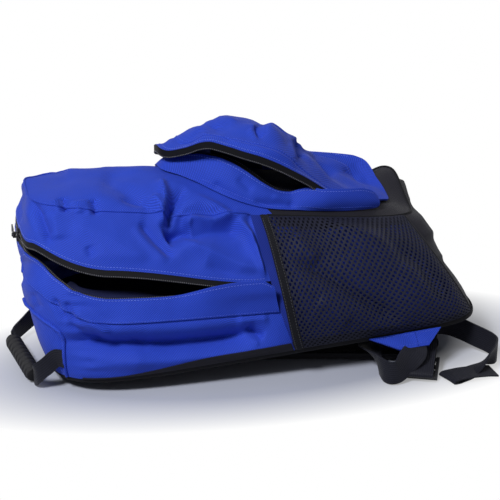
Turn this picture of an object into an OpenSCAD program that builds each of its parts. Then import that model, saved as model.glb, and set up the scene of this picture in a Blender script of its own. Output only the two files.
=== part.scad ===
// Daypack lying on its back: main zip gaping on the near side, front pocket lifted open,
// mesh side pockets, padded shoulder straps, adjuster webbing and a ribbed grab handle.
// Millimetres, Z up, floor at Z 0. X runs from the top of the pack to its base,
// and the near side faces -Y.

/* [Back panel] */
// Length of the back panel
back_len = 442; // [420:1:470]
// Width of the back panel
back_w = 276; // [264:1:290]
// Thickness of the air-mesh cover
cover_t = 6; // [4:0.5:8]
// Thickness of the foam
foam_t = 7; // [4:0.5:10]
// Thickness of the lining over the foam
lining_t = 1.2; // [0.8:0.1:2]
// How much higher the base end lies than the top end
prop_up = 33; // [28:1:40]

/* [Bag] */
// Depth of the bag at its top end, from the back panel to the front edge
depth_top = 166; // [150:1:180]
// Depth of the bag at its base end
depth_base = 84; // [74:1:96]
// Width of the front panel between its edge seams
front_w = 132; // [124:1:144]
// How far the front edge stands beyond the top end
front_over_top = 10; // [0:1:16]
// How far the front edge stands back from the base end
front_in_base = 48; // [40:1:56]
// Width that the slumped sides bend towards at mid depth
swell_w = 304; // [290:1:316]
// How far the top end bends outward
swell_top = 30; // [20:1:36]
// Rise of the front panel at its middle
crown = 22; // [14:1:28]
// Thickness of the cloth with its lining
fabric_t = 1.8; // [1.2:0.1:2.4]

/* [Zips] */
// Depth share at which the main zip runs along the sides
zip_side = 0.55; // [0.5:0.01:0.6]
// Depth share at which the main zip runs across the top end
zip_top = 0.7; // [0.64:0.01:0.74]
// Width of the gaping main zip at its widest
gape_w = 19; // [14:1:24]
// Width of one zip tape outside the cloth
tape_w = 8; // [7:0.5:10]
// Thickness of the zip tape
tape_t = 1.2; // [0.8:0.1:1.4]
// Thickness of the zip coil
coil_t = 2.4; // [2:0.1:2.6]
// Width of the storm flap below the main zip
flap_w = 25; // [20:1:30]
// Length of a zip slider
slider_len = 13; // [11:0.5:16]
// Length of a zip pull
pull_len = 22; // [16:1:26]

/* [Front pocket] */
// Length of the front pocket
pocket_len = 240; // [224:1:250]
// Width of the front pocket
pocket_w = 122; // [112:1:126]
// Height of the lifted zip lip above the front panel
lip_h = 46; // [38:1:52]
// Further rise of the pocket face at its middle
face_rise = 14; // [8:1:18]

/* [Mesh pockets] */
// How far the mesh stands off the side of the bag
mesh_bulge = 15; // [12:1:20]
// Thickness of the mesh
mesh_t = 1.6; // [1.2:0.1:2]
// Width of the bound hem at the mouth
hem_w = 9; // [7:0.5:11]

/* [Shoulder straps] */
// Thickness of a padded strap
strap_t = 10; // [8:0.5:12]
// Width of a padded strap at the yoke
strap_w_top = 62; // [54:1:68]
// Width of a padded strap at its lower end
strap_w_end = 52; // [44:1:58]
// Distance between the two straps' middles at the yoke
yoke_gap = 96; // [86:1:110]

/* [Webbing] */
// Width of the adjuster webbing
web_w = 25; // [20:1:26]
// Thickness of the webbing
web_t = 1.4; // [1:0.1:1.6]
// Thickness of the ladder-lock frame
lock_t = 4; // [3.5:0.1:4.5]

/* [Handle] */
// Length of the ribbed grip
grip_len = 88; // [76:1:94]
// Diameter of the grip between its ribs
grip_d = 15; // [13:0.5:17]
// Number of ribs on the grip
grip_ribs = 9; // [7:1:11]
// Width of the handle webbing
handle_w = 18; // [14:1:20]

/* [Hidden] */
$fn = 48;
seam_gap = 0.3;
mm_step = 0.04;
x_mid = 13.2;
x_top = x_mid - back_len / 2;
x_base = x_mid + back_len / 2;
half_w = back_w / 2;
tilt = prop_up / back_len;
tilt_deg = atan(tilt);
yoke_x = x_top + 56;
yoke_t = 1.6;
lift_top = strap_t + yoke_t + 0.9 - tilt * (yoke_x - x_top);
swell_base = -18;
corner_top_back = 5;
corner_top_front = 4;
corner_base_back = 9;
corner_base_front = 5;
near_top = 229;
near_mouth = 275.4;
near_base = 318.6;
seam_deg = 0.12;
zip_end = 274.8;
flap_start = 204;
coil_w = 2.6;

function clamp01(v) = max(0, min(1, v));
function ease(v) = let (k = clamp01(v)) k * k * (3 - 2 * k);
function mix(a, b, k) = a + (b - a) * k;
function bend(a, b, c, s) = (1 - s) * (1 - s) * a + 2 * s * (1 - s) * b + s * s * c;
function unit(v) = v / norm(v);
function flat_list(rows) = [for (r = rows) each r];

// Heights of the back panel's underside and of the front edge
function back_z(x) = lift_top + tilt * (x - x_top);
function front_z(x) = back_z(x) + mix(depth_top, depth_base, (x - x_top) / back_len);

// Corner sharpness and plan reach of the bag's rounded-square outline, by plan angle and depth share
function sharp(a, s) = mix(
    mix(corner_top_back, corner_top_front, s),
    mix(corner_base_back, corner_base_front, s),
    ease((1 + cos(a)) / 2));
function reach(a, n) = pow(pow(abs(cos(a)), n) + pow(abs(sin(a)), n), -1 / n);

// The far corner of the base stands up a little
base_hump = 22;
function hump(x, y) = base_hump * ease((x - x_base + 86) / 38) * ease((y + 34) / 70);

// Side wall of the bag: a is the plan angle, s runs from the back panel to the front edge
function wall(a, s) = let (
    r = reach(a, sharp(a, s)),
    x0 = bend(x_top, x_top - swell_top, x_top - front_over_top, s),
    x1 = bend(x_base, x_base + swell_base, x_base - front_in_base, s),
    w = bend(back_w, swell_w, front_w, s) / 2,
    x = (x0 + x1) / 2 + (x1 - x0) / 2 * r * cos(a),
    y = w * r * sin(a))
    [x, y, mix(back_z(x), front_z(x), s) + hump(x, y) * s * s];
function wall_out(a, s) = unit(cross(
    wall(a + 0.5, s) - wall(a - 0.5, s),
    wall(a, s + 0.004) - wall(a, s - 0.004)));
function wall_at(a, s, o) = wall(a, s) + o * wall_out(a, s);

// Depth share per millimetre along the wall, and the share where the cloth leaves the back panel
function per_mm(a) = mm_step / norm(wall(a, 0.56 + mm_step) - wall(a, 0.56));
function seam_s(a) = let (x = wall(a, 0)[0]) (cover_t + seam_gap) / (front_z(x) - back_z(x));
function edge_s(a) = 1 - 0.4 * per_mm(a);

// Main zip: the chain's depth share, and how wide the zip gapes
function chain_s(a) = mix(zip_side, zip_top, ease((57 - abs(a - 180)) / 24));
function gape(a) = a > 235
    ? gape_w * ease((272 - a) / 37)
    : gape_w * mix(0.25, 1, ease((a - 205) / 30)) * ease((a - 179) / 14);
function up(a, mm) = chain_s(a) + mm * per_mm(a);

// Front panel surface over the plan
front_x0 = x_top - front_over_top;
front_x1 = x_base - front_in_base;
front_cx = (front_x0 + front_x1) / 2;
front_lx = (front_x1 - front_x0) / 2;
function front_share(x, y) = let (
    u = (x - front_cx) / front_lx,
    v = y / (front_w / 2),
    n = sharp(atan2(v, u), 1))
    pow(pow(abs(u), n) + pow(abs(v), n), 1 / n);
function front_top(x, y) = let (q = front_share(x, y)) front_z(x) + crown * (1 - q * q) + hump(x, y);
function front_at(a, q) = let (
    p = wall(a, 1),
    x = front_cx + q * (p[0] - front_cx),
    y = q * p[1])
    [x, y, front_z(x) + crown * (1 - q * q) + hump(x, y)];

// Front pocket: plan ring, zip lips and lifted face
pocket_x1 = front_x1 - 22;
pocket_cx = pocket_x1 - pocket_len / 2;
pocket_skew = 0.17;
chain_h = tape_w * 2;
// How far the slider parts the chain
part_h = 1.9;
function pocket_n(a) = sin(a) > 0
    ? mix(2.6, 4, ease(sin(a) * 2))
    : mix(2.6, mix(1.9, 3.5, ease((1 + cos(a)) / 2)), ease(-sin(a) * 2));
function ring(a, q) = let (
    r = reach(a, pocket_n(a)) * q,
    u = pocket_len / 2 * r * cos(a))
    [pocket_cx + u, pocket_w / 2 * r * sin(a) * mix(1, 0.94, clamp01(sin(a)))
        - pocket_skew * u * clamp01(-cos(a) * 1.4)];
function far_open(a) = ease((abs(a - 74) - 34) / 34);
function base_fade(a) = ease((min(a, 360 - a) - 16) / 30);
function lift_h(x) = 5 + (lip_h - 5) * ease((pocket_x1 - 26 - x) / (pocket_len * 0.55))
    * mix(0.45, 1, ease((x - (pocket_x1 - pocket_len) - 2) / (pocket_len * 0.19)));
function lip_up(a) = let (x = ring(a, 1)[0])
    mix(3, mix(chain_h + tape_w + fabric_t + part_h * ease((a - 103) / 5), lift_h(x),
        far_open(a)), base_fade(a));
function shell(a, q) = let (
    p = ring(a, q),
    mid = lift_h(p[0]) + face_rise * lift_h(p[0]) / lip_h,
    h = mix(mid, lip_up(a), q * q))
    [p[0], p[1], front_top(p[0], p[1]) + h];
function shell_out(a, q) = unit(cross(
    shell(a + 0.5, q) - shell(a - 0.5, q),
    shell(a, q - 0.01) - shell(a, q + 0.01)));
function shell_at(a, q, o) = shell(a, q) + o * shell_out(a, q);
function low_q(a) = mix(1, 0.78, far_open(a));
function low_h(a) = let (x = ring(a, 0.78)[0])
    mix(chain_h - tape_w, min(mix(8, 27, ease((pocket_cx - x) / 55)), 0.6 * lip_up(a)), far_open(a));
function band_foot(a) = let (p = ring(a, 1)) [p[0], p[1], front_top(p[0], p[1]) + 0.4];
function band_lip(a) = let (p = ring(a, low_q(a))) [p[0], p[1], front_top(p[0], p[1]) + low_h(a)];
function band_run(a) = unit(band_lip(a) - band_foot(a));
function band_out(a) = unit(cross(band_foot(a + 1) - band_foot(a - 1), band_run(a)));
function tuck_run(a) = let (v = band_lip(a) - band_foot(a))
    unit(mix(unit(v), unit([v[0], v[1], 0.001]) * 0.98 - [0, 0, 0.1], far_open(a)));
function tuck_out(a) = unit(cross(band_lip(a + 1) - band_lip(a - 1), tuck_run(a)));
function ring_out(a) = let (g = ring(a + 1, 1) - ring(a - 1, 1)) unit([g[1], -g[0], 0]);

// Solid between two grids of points, outer rows first
module sheet(outer, inner) {
    m = len(outer);
    n = len(outer[0]);
    t = m * n;
    polyhedron(
        points = concat(flat_list(outer), flat_list(inner)),
        faces = concat(
            [for (i = [0:m - 2], j = [0:n - 2]) each let (p = i * n + j)
                [[p, p + 1, p + n + 1], [p, p + n + 1, p + n]]],
            [for (i = [0:m - 2], j = [0:n - 2]) each let (p = t + i * n + j)
                [[p, p + n + 1, p + 1], [p, p + n, p + n + 1]]],
            [for (i = [0:m - 2]) each let (p = i * n)
                [[p, p + n, p + t], [p + n, p + n + t, p + t]]],
            [for (i = [0:m - 2]) each let (p = i * n + n - 1)
                [[p, p + t, p + n], [p + n, p + t, p + n + t]]],
            [for (j = [0:n - 2]) each let (p = j)
                [[p, p + t, p + 1], [p + 1, p + t, p + t + 1]]],
            [for (j = [0:n - 2]) each let (p = (m - 1) * n + j)
                [[p, p + 1, p + t], [p + 1, p + t + 1, p + t]]]));
}

// Closed dome between two sets of rings, each with a middle point
module dome(outer, outer_mid, inner, inner_mid) {
    m = len(outer);
    n = len(outer[0]);
    t = m * n;
    polyhedron(
        points = concat(flat_list(outer), flat_list(inner), [outer_mid, inner_mid]),
        faces = concat(
            [for (i = [0:m - 2], j = [0:n - 1]) each let (k = (j + 1) % n)
                [[i * n + j, i * n + n + k, i * n + k], [i * n + j, i * n + n + j, i * n + n + k]]],
            [for (i = [0:m - 2], j = [0:n - 1]) each let (k = (j + 1) % n)
                [[t + i * n + j, t + i * n + k, t + i * n + n + k],
                 [t + i * n + j, t + i * n + n + k, t + i * n + n + j]]],
            [for (j = [0:n - 1]) [(m - 1) * n + j, 2 * t, (m - 1) * n + (j + 1) % n]],
            [for (j = [0:n - 1]) [t + (m - 1) * n + j, t + (m - 1) * n + (j + 1) % n, 2 * t + 1]],
            [for (j = [0:n - 1]) each let (k = (j + 1) % n)
                [[j, k, t + k], [j, t + k, t + j]]]));
}

// Panel of the side wall between two plan angles; lo and hi give its depth shares
module wall_panel(a0, a1, steps, rows, lo, hi, thick) {
    outer = [for (i = [0:steps]) let (a = mix(a0, a1, i / steps))
        [for (j = [0:rows]) wall_at(a, mix(lo(a), hi(a), j / rows), 0)]];
    inner = [for (i = [0:steps]) let (a = mix(a0, a1, i / steps))
        [for (j = [0:rows]) wall_at(a, mix(lo(a), hi(a), j / rows), -thick)]];
    sheet(outer, inner);
}

// Flat webbing swept along a list of [point, width direction]
function web_corners(route, i, w, t) = let (
    n = len(route) - 1,
    along = unit(route[min(i + 1, n)][0] - route[max(i - 1, 0)][0]),
    side0 = route[i][1],
    side = unit(side0 - along * (side0 * along)),
    face = cross(along, side),
    p = route[i][0])
    [p - side * w / 2 - face * t / 2, p + side * w / 2 - face * t / 2,
     p + side * w / 2 + face * t / 2, p - side * w / 2 + face * t / 2];
module webbing(route, w, t) {
    n = len(route);
    polyhedron(
        points = [for (i = [0:n - 1]) each web_corners(route, i, w, t)],
        faces = concat(
            [[0, 1, 2], [0, 2, 3]],
            [for (i = [0:n - 2], j = [0:3]) each let (p = i * 4 + j, q = i * 4 + (j + 1) % 4)
                [[p, p + 4, q + 4], [p, q + 4, q]]],
            [[n * 4 - 4, n * 4 - 2, n * 4 - 3], [n * 4 - 4, n * 4 - 1, n * 4 - 2]]));
}
function curve_at(a, b, c, d, k) = 0.5 * ((2 * b) + (c - a) * k + (2 * a - 5 * b + 4 * c - d) * k * k
    + (3 * b - a - 3 * c + d) * k * k * k);
function smooth_route(keys, m) = let (n = len(keys) - 1) concat(
    [for (i = [0:n - 1], j = [0:m - 1]) let (
        k = j / m,
        a = keys[max(i - 1, 0)],
        b = keys[i],
        c = keys[i + 1],
        d = keys[min(i + 2, n)])
        [curve_at(a[0], b[0], c[0], d[0], k), mix(b[1], c[1], k)]],
    [keys[n]]);

// Flat plate lying in the back panel's tilted plane
module in_panel(z0, t) {
    translate([x_top, 0, lift_top]) rotate([0, -tilt_deg, 0]) translate([0, 0, z0])
        linear_extrude(t) children();
}
function panel_outline(inset) = [for (i = [0:71]) let (
    p = wall(i * 5, 0),
    u = (p[0] - x_mid) * (1 - inset / (back_len / 2)) + back_len / 2)
    [u / cos(tilt_deg), p[1] * (1 - inset / half_w)]];

// Back panel
module back_cover() color("#2b2a2b") in_panel(0, cover_t) polygon(panel_outline(0));
foam_inset = 16;
module back_foam() color("#3a3a3d") in_panel(cover_t + seam_gap, foam_t)
    polygon(panel_outline(foam_inset));
module back_lining() color("#20232e") in_panel(cover_t + foam_t + 2 * seam_gap, lining_t)
    polygon(panel_outline(foam_inset));

// Rear gussets between the back panel and the lower zip tape
module rear_gusset(a0, a1, steps) color("#2d43c4")
    wall_panel(a0, a1, steps, 4, function(a) seam_s(a), function(a) up(a, -tape_w - seam_gap), fabric_t);
module rear_gusset_near() rear_gusset(near_top + seam_deg, near_mouth - seam_deg, 16);
module rear_gusset_top() rear_gusset(360 - near_top + seam_deg, near_top - seam_deg, 24);
module rear_gusset_far() rear_gusset(360 - near_mouth + seam_deg, 360 - near_top - seam_deg, 16);

// Front gussets between the upper zip tape and the front edge
module front_gusset(a0, a1, steps) color("#3049cf")
    wall_panel(a0, a1, steps, 4, function(a) up(a, tape_w + seam_gap + gape(a)), function(a) edge_s(a),
        fabric_t);
module front_gusset_near() front_gusset(near_top + seam_deg, near_mouth - seam_deg, 16);
module front_gusset_top() front_gusset(360 - near_top + seam_deg, near_top - seam_deg, 24);
module front_gusset_far() front_gusset(360 - near_mouth + seam_deg, 360 - near_top - seam_deg, 16);

// Sides under the mesh pockets, and the base
module side_panel(a0, a1) color("#26389f")
    wall_panel(a0, a1, 12, 6, function(a) seam_s(a) + 0.2 * per_mm(a), function(a) edge_s(a), fabric_t);
module side_panel_near() side_panel(near_mouth + seam_deg, near_base - seam_deg);
module side_panel_far() side_panel(360 - near_base + seam_deg, 360 - near_mouth - seam_deg);
module base_panel() color("#24242c")
    wall_panel(near_base - 360 + seam_deg, 360 - near_base - seam_deg, 26, 6,
        function(a) seam_s(a) + 0.3 * per_mm(a), function(a) edge_s(a), fabric_t);

// Front panel
module front_panel() color("#3049cf") {
    qs = [0.988, 0.92, 0.85, 0.75, 0.65, 0.4, 0.15];
    outer = [for (q = qs) [for (i = [0:47]) front_at(i * 7.5, q)]];
    inner = [for (q = qs) [for (i = [0:47]) front_at(i * 7.5, q) - [0, 0, fabric_t]]];
    mid = front_at(0, 0);
    dome(outer, mid, inner, mid - [0, 0, fabric_t]);
}

// Storm flap below the near stretch of the main zip
function flap_off(a, k) = 0.4 + k * mix(1, 12, ease((a - 250) / 9) * (1 - 0.12 * ease((a - 272) / 3)));
module storm_flap() color("#2d43c4") {
    steps = 26;
    outer = [for (i = [0:steps]) let (a = mix(flap_start, near_mouth - 0.4, i / steps))
        [for (j = [0:4]) wall_at(a, up(a, -flap_w - 2 + flap_w * j / 4), flap_off(a, j / 4) + fabric_t)]];
    inner = [for (i = [0:steps]) let (a = mix(flap_start, near_mouth - 0.4, i / steps))
        [for (j = [0:4]) wall_at(a, up(a, -flap_w - 2 + flap_w * j / 4), flap_off(a, j / 4))]];
    sheet(outer, inner);
}

// Main zip tapes, each with its coil along the inner edge
chain_off = -fabric_t / 2;
module main_tape(side) color("#15151a") {
    steps = 64;
    ks = side < 0 ? [-tape_w, -coil_w - 0.2, -coil_w, -0.15] : [0.15, coil_w, coil_w + 0.2, tape_w];
    hs = side < 0 ? [tape_t, tape_t, coil_t, coil_t] / 2 : [coil_t, coil_t, tape_t, tape_t] / 2;
    outer = [for (i = [0:steps]) let (a = mix(360 - zip_end, zip_end, i / steps))
        [for (j = [0:3]) wall_at(a, up(a, ks[j] + (side < 0 ? 0 : gape(a))), chain_off + hs[j])]];
    inner = [for (i = [0:steps]) let (a = mix(360 - zip_end, zip_end, i / steps))
        [for (j = [0:3]) wall_at(a, up(a, ks[j] + (side < 0 ? 0 : gape(a))), chain_off - hs[j])]];
    sheet(outer, inner);
}
module main_tape_lower() main_tape(-1);
module main_tape_upper() main_tape(1);

// Zip slider along X, its post between the parted chains, and its pull hung on the crown's bar
slider_w = 2 * coil_w + 5.2;
slider_h = coil_t + 4;
bar_h = slider_h / 2 + 2.6;
post_w = 1;
post_x = slider_len / 2 - 1.1;
module slider() {
    difference() {
        translate([0, 0, -slider_h / 2]) linear_extrude(slider_h)
            polygon([[slider_len / 2, -slider_w * 0.44], [slider_len * 0.1, -slider_w / 2],
                [-slider_len / 2, -slider_w / 2], [-slider_len / 2, slider_w / 2],
                [slider_len * 0.1, slider_w / 2], [slider_len / 2, slider_w * 0.44]]);
        cube([slider_len + 2, 2 * coil_w + 2.6, coil_t + 2], center = true);
        cube([slider_len + 2, slider_w + 2, tape_t + 1.6], center = true);
    }
    translate([-post_x, 0, 0]) cube([2.2, post_w, slider_h], center = true);
    for (s = [-1, 1]) translate([-1, s * 2.6 - 0.6, slider_h / 2 - 0.2]) cube([2, 1.2, 3.6]);
    translate([0, 0, bar_h]) rotate([90, 0, 0]) cylinder(r = 0.8, h = 5.4, center = true);
}
module pull() {
    translate([0, 0, bar_h]) rotate([90, 0, 0]) linear_extrude(3.2, center = true) difference() {
        union() {
            circle(r = 2.2);
            translate([0, -0.7]) square([pull_len, 1.4]);
        }
        circle(r = 1.1);
    }
    translate([8, -3.4, bar_h - 0.7]) cube([pull_len - 8, 6.8, 1.4]);
}
function post_a(a, turn) = a - turn * post_x / norm(wall(a + 0.5, chain_s(a)) - wall(a - 0.5, chain_s(a)));
module on_wall(a, turn) {
    along = unit(wall(a + 1, chain_s(a + 1)) - wall(a - 1, chain_s(a - 1))) * turn;
    out0 = wall_out(a, chain_s(a));
    out = unit(out0 - along * (out0 * along));
    side = cross(out, along);
    p = wall_at(a, up(a, gape(post_a(a, turn)) / 2), chain_off);
    multmatrix([[along[0], side[0], out[0], p[0]], [along[1], side[1], out[1], p[1]],
        [along[2], side[2], out[2], p[2]], [0, 0, 0, 1]]) children();
}
near_slider_a = 265.5;
top_slider_a = 183;
module main_slider_near() color("#1b1b1f") on_wall(near_slider_a, 1) slider();
module main_pull_near() color("#1b1b1f") on_wall(near_slider_a, 1) pull();
module main_slider_top() color("#1b1b1f") on_wall(top_slider_a, -1) slider();
module main_pull_top() color("#1b1b1f") on_wall(top_slider_a, -1) pull();

// Front pocket: lower band, zip tapes, upper gusset and face
band_a0 = 44;
band_a1 = 318;
module pocket_band() color("#2d43c4") {
    steps = 44;
    outer = [for (i = [0:steps]) let (a = mix(band_a0, band_a1, i / steps))
        [for (j = [0:3]) mix(band_foot(a), band_lip(a), j / 3) + band_out(a) * fabric_t / 2 + [0, 0, 0.9]]];
    inner = [for (i = [0:steps]) let (a = mix(band_a0, band_a1, i / steps))
        [for (j = [0:3]) mix(band_foot(a), band_lip(a), j / 3) - band_out(a) * fabric_t / 2 + [0, 0, 0.9]]];
    sheet(outer, inner);
}
tape_a0 = 46;
tape_a1 = 292;
module pocket_tape_lower() color("#15151a") {
    steps = 48;
    ks = [1, tape_w - coil_w - 0.2, tape_w - coil_w, tape_w - 0.15];
    hs = [tape_t, tape_t, coil_t, coil_t] / 2;
    outer = [for (i = [0:steps]) let (a = mix(tape_a0, tape_a1, i / steps))
        [for (j = [0:3]) band_lip(a) + tuck_run(a) * ks[j] + tuck_out(a) * hs[j] + [0, 0, 0.9]]];
    inner = [for (i = [0:steps]) let (a = mix(tape_a0, tape_a1, i / steps))
        [for (j = [0:3]) band_lip(a) + tuck_run(a) * ks[j] - tuck_out(a) * hs[j] + [0, 0, 0.9]]];
    sheet(outer, inner);
}
module pocket_tape_upper() color("#15151a") {
    steps = 48;
    ks = [tape_w - 0.15, tape_w - coil_w, tape_w - coil_w - 0.2, seam_gap];
    hs = [coil_t, coil_t, tape_t, tape_t] / 2;
    outer = [for (i = [0:steps]) let (a = mix(tape_a0, tape_a1, i / steps))
        [for (j = [0:3]) shell(a, 1) - [0, 0, ks[j] - 0.9 + fabric_t] + ring_out(a) * hs[j]]];
    inner = [for (i = [0:steps]) let (a = mix(tape_a0, tape_a1, i / steps))
        [for (j = [0:3]) shell(a, 1) - [0, 0, ks[j] - 0.9 + fabric_t] - ring_out(a) * hs[j]]];
    sheet(outer, inner);
}
gusset_q = 0.84;
function around(q, o) = [for (i = [0:59]) shell_at(i * 6, q, 0) + [0, 0, 0.9 - o]];
module pocket_gusset() color("#3049cf") {
    qs = [1, 0.95, 0.9, gusset_q];
    m = len(qs);
    points = concat(
        [for (q = qs) each around(q, 0)],
        [for (q = qs) each around(q, fabric_t)]);
    t = m * 60;
    polyhedron(points = points, faces = concat(
        [for (i = [0:m - 2], j = [0:59]) each let (k = (j + 1) % 60)
            [[i * 60 + j, i * 60 + 60 + k, i * 60 + k], [i * 60 + j, i * 60 + 60 + j, i * 60 + 60 + k]]],
        [for (i = [0:m - 2], j = [0:59]) each let (k = (j + 1) % 60)
            [[t + i * 60 + j, t + i * 60 + k, t + i * 60 + 60 + k],
             [t + i * 60 + j, t + i * 60 + 60 + k, t + i * 60 + 60 + j]]],
        [for (j = [0:59]) each let (k = (j + 1) % 60) [[j, k, t + k], [j, t + k, t + j]]],
        [for (j = [0:59]) each let (k = (j + 1) % 60, b = (m - 1) * 60)
            [[b + j, b + t + k, b + k], [b + j, b + t + j, b + t + k]]]));
}
module pocket_face() color("#3049cf") {
    qs = [gusset_q - 0.006, 0.68, 0.5, 0.3, 0.12];
    outer = [for (q = qs) around(q, 0)];
    inner = [for (q = qs) around(q, fabric_t)];
    mid = shell(0, 0) + [0, 0, 0.9];
    dome(outer, mid, inner, mid - [0, 0, fabric_t]);
}
module on_pocket(a) {
    p = ring(a, 1);
    g = ring(a + 2, 1) - ring(a - 2, 1);
    f = front_top(ring(a + 2, 1)[0], ring(a + 2, 1)[1]) - front_top(ring(a - 2, 1)[0], ring(a - 2, 1)[1]);
    along = -unit([g[0], g[1], f]);
    out = unit(cross(along, cross([0, 1, 0], along)));
    side = cross(out, along);
    c = [p[0], p[1], front_top(p[0], p[1]) + chain_h + part_h] - out * 0.2;
    multmatrix([[along[0], side[0], out[0], c[0]], [along[1], side[1], out[1], c[1]],
        [along[2], side[2], out[2], c[2]], [0, 0, 0, 1]]) children();
}
pocket_slider_a = 106.5;
module pocket_slider() color("#1b1b1f") on_pocket(pocket_slider_a) slider();
module pocket_pull() color("#1b1b1f") on_pocket(pocket_slider_a) pull();

// Mesh side pockets with a bound mouth
mesh_a0 = near_mouth + 2.4;
mesh_a1 = near_base - 0.8;
function mesh_off(a, v) = let (u = clamp01((max(a, 360 - a) - mesh_a0) / (mesh_a1 - mesh_a0)))
    0.5 + mesh_bulge * pow(sin(180 * v), 0.8) * (1 - u * u * u);
function mesh_s(a, v) = mix(seam_s(a) + 0.015, 0.975, v);
module mesh_sheet(a0, a1, steps, thick, raise) {
    outer = [for (i = [0:steps]) let (a = mix(a0, a1, i / steps))
        [for (j = [0:10]) wall_at(a, mesh_s(a, j / 10), mesh_off(a, j / 10) + thick + raise)]];
    inner = [for (i = [0:steps]) let (a = mix(a0, a1, i / steps))
        [for (j = [0:10]) wall_at(a, mesh_s(a, j / 10), mesh_off(a, j / 10))]];
    sheet(outer, inner);
}
hem_deg = hem_w / (back_len / 2 * PI / 180);
module mesh_pocket_near() color("#17171b") mesh_sheet(mesh_a0 + 0.1, mesh_a1, 14, mesh_t, 0);
module mesh_hem_near() color("#101014") mesh_sheet(mesh_a0 - hem_deg, mesh_a0, 2, mesh_t, 0.8);
module mesh_pocket_far() color("#17171b") mesh_sheet(360 - mesh_a1, 360 - mesh_a0 - 0.1, 14, mesh_t, 0);
module mesh_hem_far() color("#101014") mesh_sheet(360 - mesh_a0, 360 - mesh_a0 + hem_deg, 2, mesh_t, 0.8);

// Shoulder straps: yoke on the back panel, padded strap, liner, tab and ladder-lock
corner = [x_base, -half_w, 0];
strap_p0 = [yoke_x, -yoke_gap / 2];
strap_p1 = strap_p0 + [130, -2];
strap_p2 = [corner[0] - 166, corner[1] + 58];
strap_p3 = [corner[0] - 56, corner[1] + 30];
function strap_mid(k) = let (m = 1 - k)
    m * m * m * strap_p0 + 3 * m * m * k * strap_p1 + 3 * m * k * k * strap_p2 + k * k * k * strap_p3;
function strap_side(k, s, cut) = let (
    g = unit(strap_mid(min(1, k + 0.01)) - strap_mid(max(0, k - 0.01))),
    w = mix(strap_w_top, strap_w_end, ease(k)) / 2 - cut)
    strap_mid(k) + s * w * [-g[1], g[0]];
function strap_outline(k0, k1, cut) = concat(
    [for (i = [0:20]) strap_side(mix(k0, k1, i / 20), -1, cut)],
    [for (i = [20:-1:0]) strap_side(mix(k0, k1, i / 20), 1, cut)]);
liner_t = 3;
module strap_yoke_near() color("#22242e") in_panel(-yoke_t - 0.2, yoke_t)
    translate([yoke_x - 22 - x_top, -yoke_gap / 2 - strap_w_top / 2])
        square([36, strap_w_top]);
module strap_pad_near() color("#2a3a9c") {
    linear_extrude(strap_t - liner_t - seam_gap) polygon(strap_outline(0, 1, 0));
    translate([yoke_x, -yoke_gap / 2, strap_t / 2]) rotate([90, 0, 0])
        cylinder(d = strap_t, h = strap_w_top - 4, center = true);
}
module strap_liner_near() color("#2b2a2b")
    translate([0, 0, strap_t - liner_t]) linear_extrude(liner_t) polygon(strap_outline(0.05, 0.995, 3));

// Ladder-lock frame: its own X runs from the pivot bar to the lip
lock_base = corner + [-67, -4, 0];
lock_turn = -113.5;
lock_len = 32;
lock_w = web_w + 8;
lock_bar = lock_t / 2;
loop_in = lock_bar + 0.4;
lock_z = strap_t + 0.4 - loop_in;
lock_drop = asin((lock_z - lock_bar) / lock_len * 0.99);
module at_lock(drop) {
    translate(lock_base + [0, 0, lock_z]) rotate([0, 0, lock_turn]) rotate([0, drop, 0]) children();
}
module strap_tab_near() color("#1a1b26") at_lock(0)
    rotate([90, 0, 0]) linear_extrude(web_w, center = true) {
        difference() {
            circle(r = loop_in + web_t);
            circle(r = loop_in);
        }
        translate([-36, loop_in]) square([36, web_t]);
    }
module ladder_lock_near() color("#17181c") at_lock(lock_drop) {
    for (s = [-1, 1]) translate([-lock_bar, s * (lock_w / 2 - 1.6) - 1.6, -lock_bar])
        cube([lock_len + lock_bar, 3.2, lock_t]);
    rotate([90, 0, 0]) cylinder(r = lock_bar, h = lock_w - 2, center = true);
    translate([11, -lock_w / 2 + 1, -1.5]) cube([4, lock_w - 2, 3]);
    translate([20, -lock_w / 2 + 1, -1.5]) cube([4, lock_w - 2, 3]);
    translate([lock_len - 4, -lock_w / 2 + 1, -lock_bar]) cube([4, lock_w - 2, lock_t]);
}

// Cloth wing that holds the adjuster webbing to the lower corner
wing_y = -half_w - seam_gap - fabric_t;
wing_drop = 9;
function wing_top(k) = let (x = corner[0] - mix(125, 49, k)) [x, wing_y, back_z(x) + 3.6];
function wing_low(k) = let (x = corner[0] - mix(98, 67, k)) [x, wing_y - 17, back_z(x) + 3.6 - wing_drop];
module strap_wing_near() color("#2d43c4") {
    out = unit([0, -wing_drop, 17]) * fabric_t;
    outer = [for (i = [0:8]) [for (j = [0:3]) mix(wing_low(i / 8), wing_top(i / 8), j / 3)]];
    inner = [for (i = [0:8]) [for (j = [0:3]) mix(wing_low(i / 8), wing_top(i / 8), j / 3) - out]];
    sheet(outer, inner);
}

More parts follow.
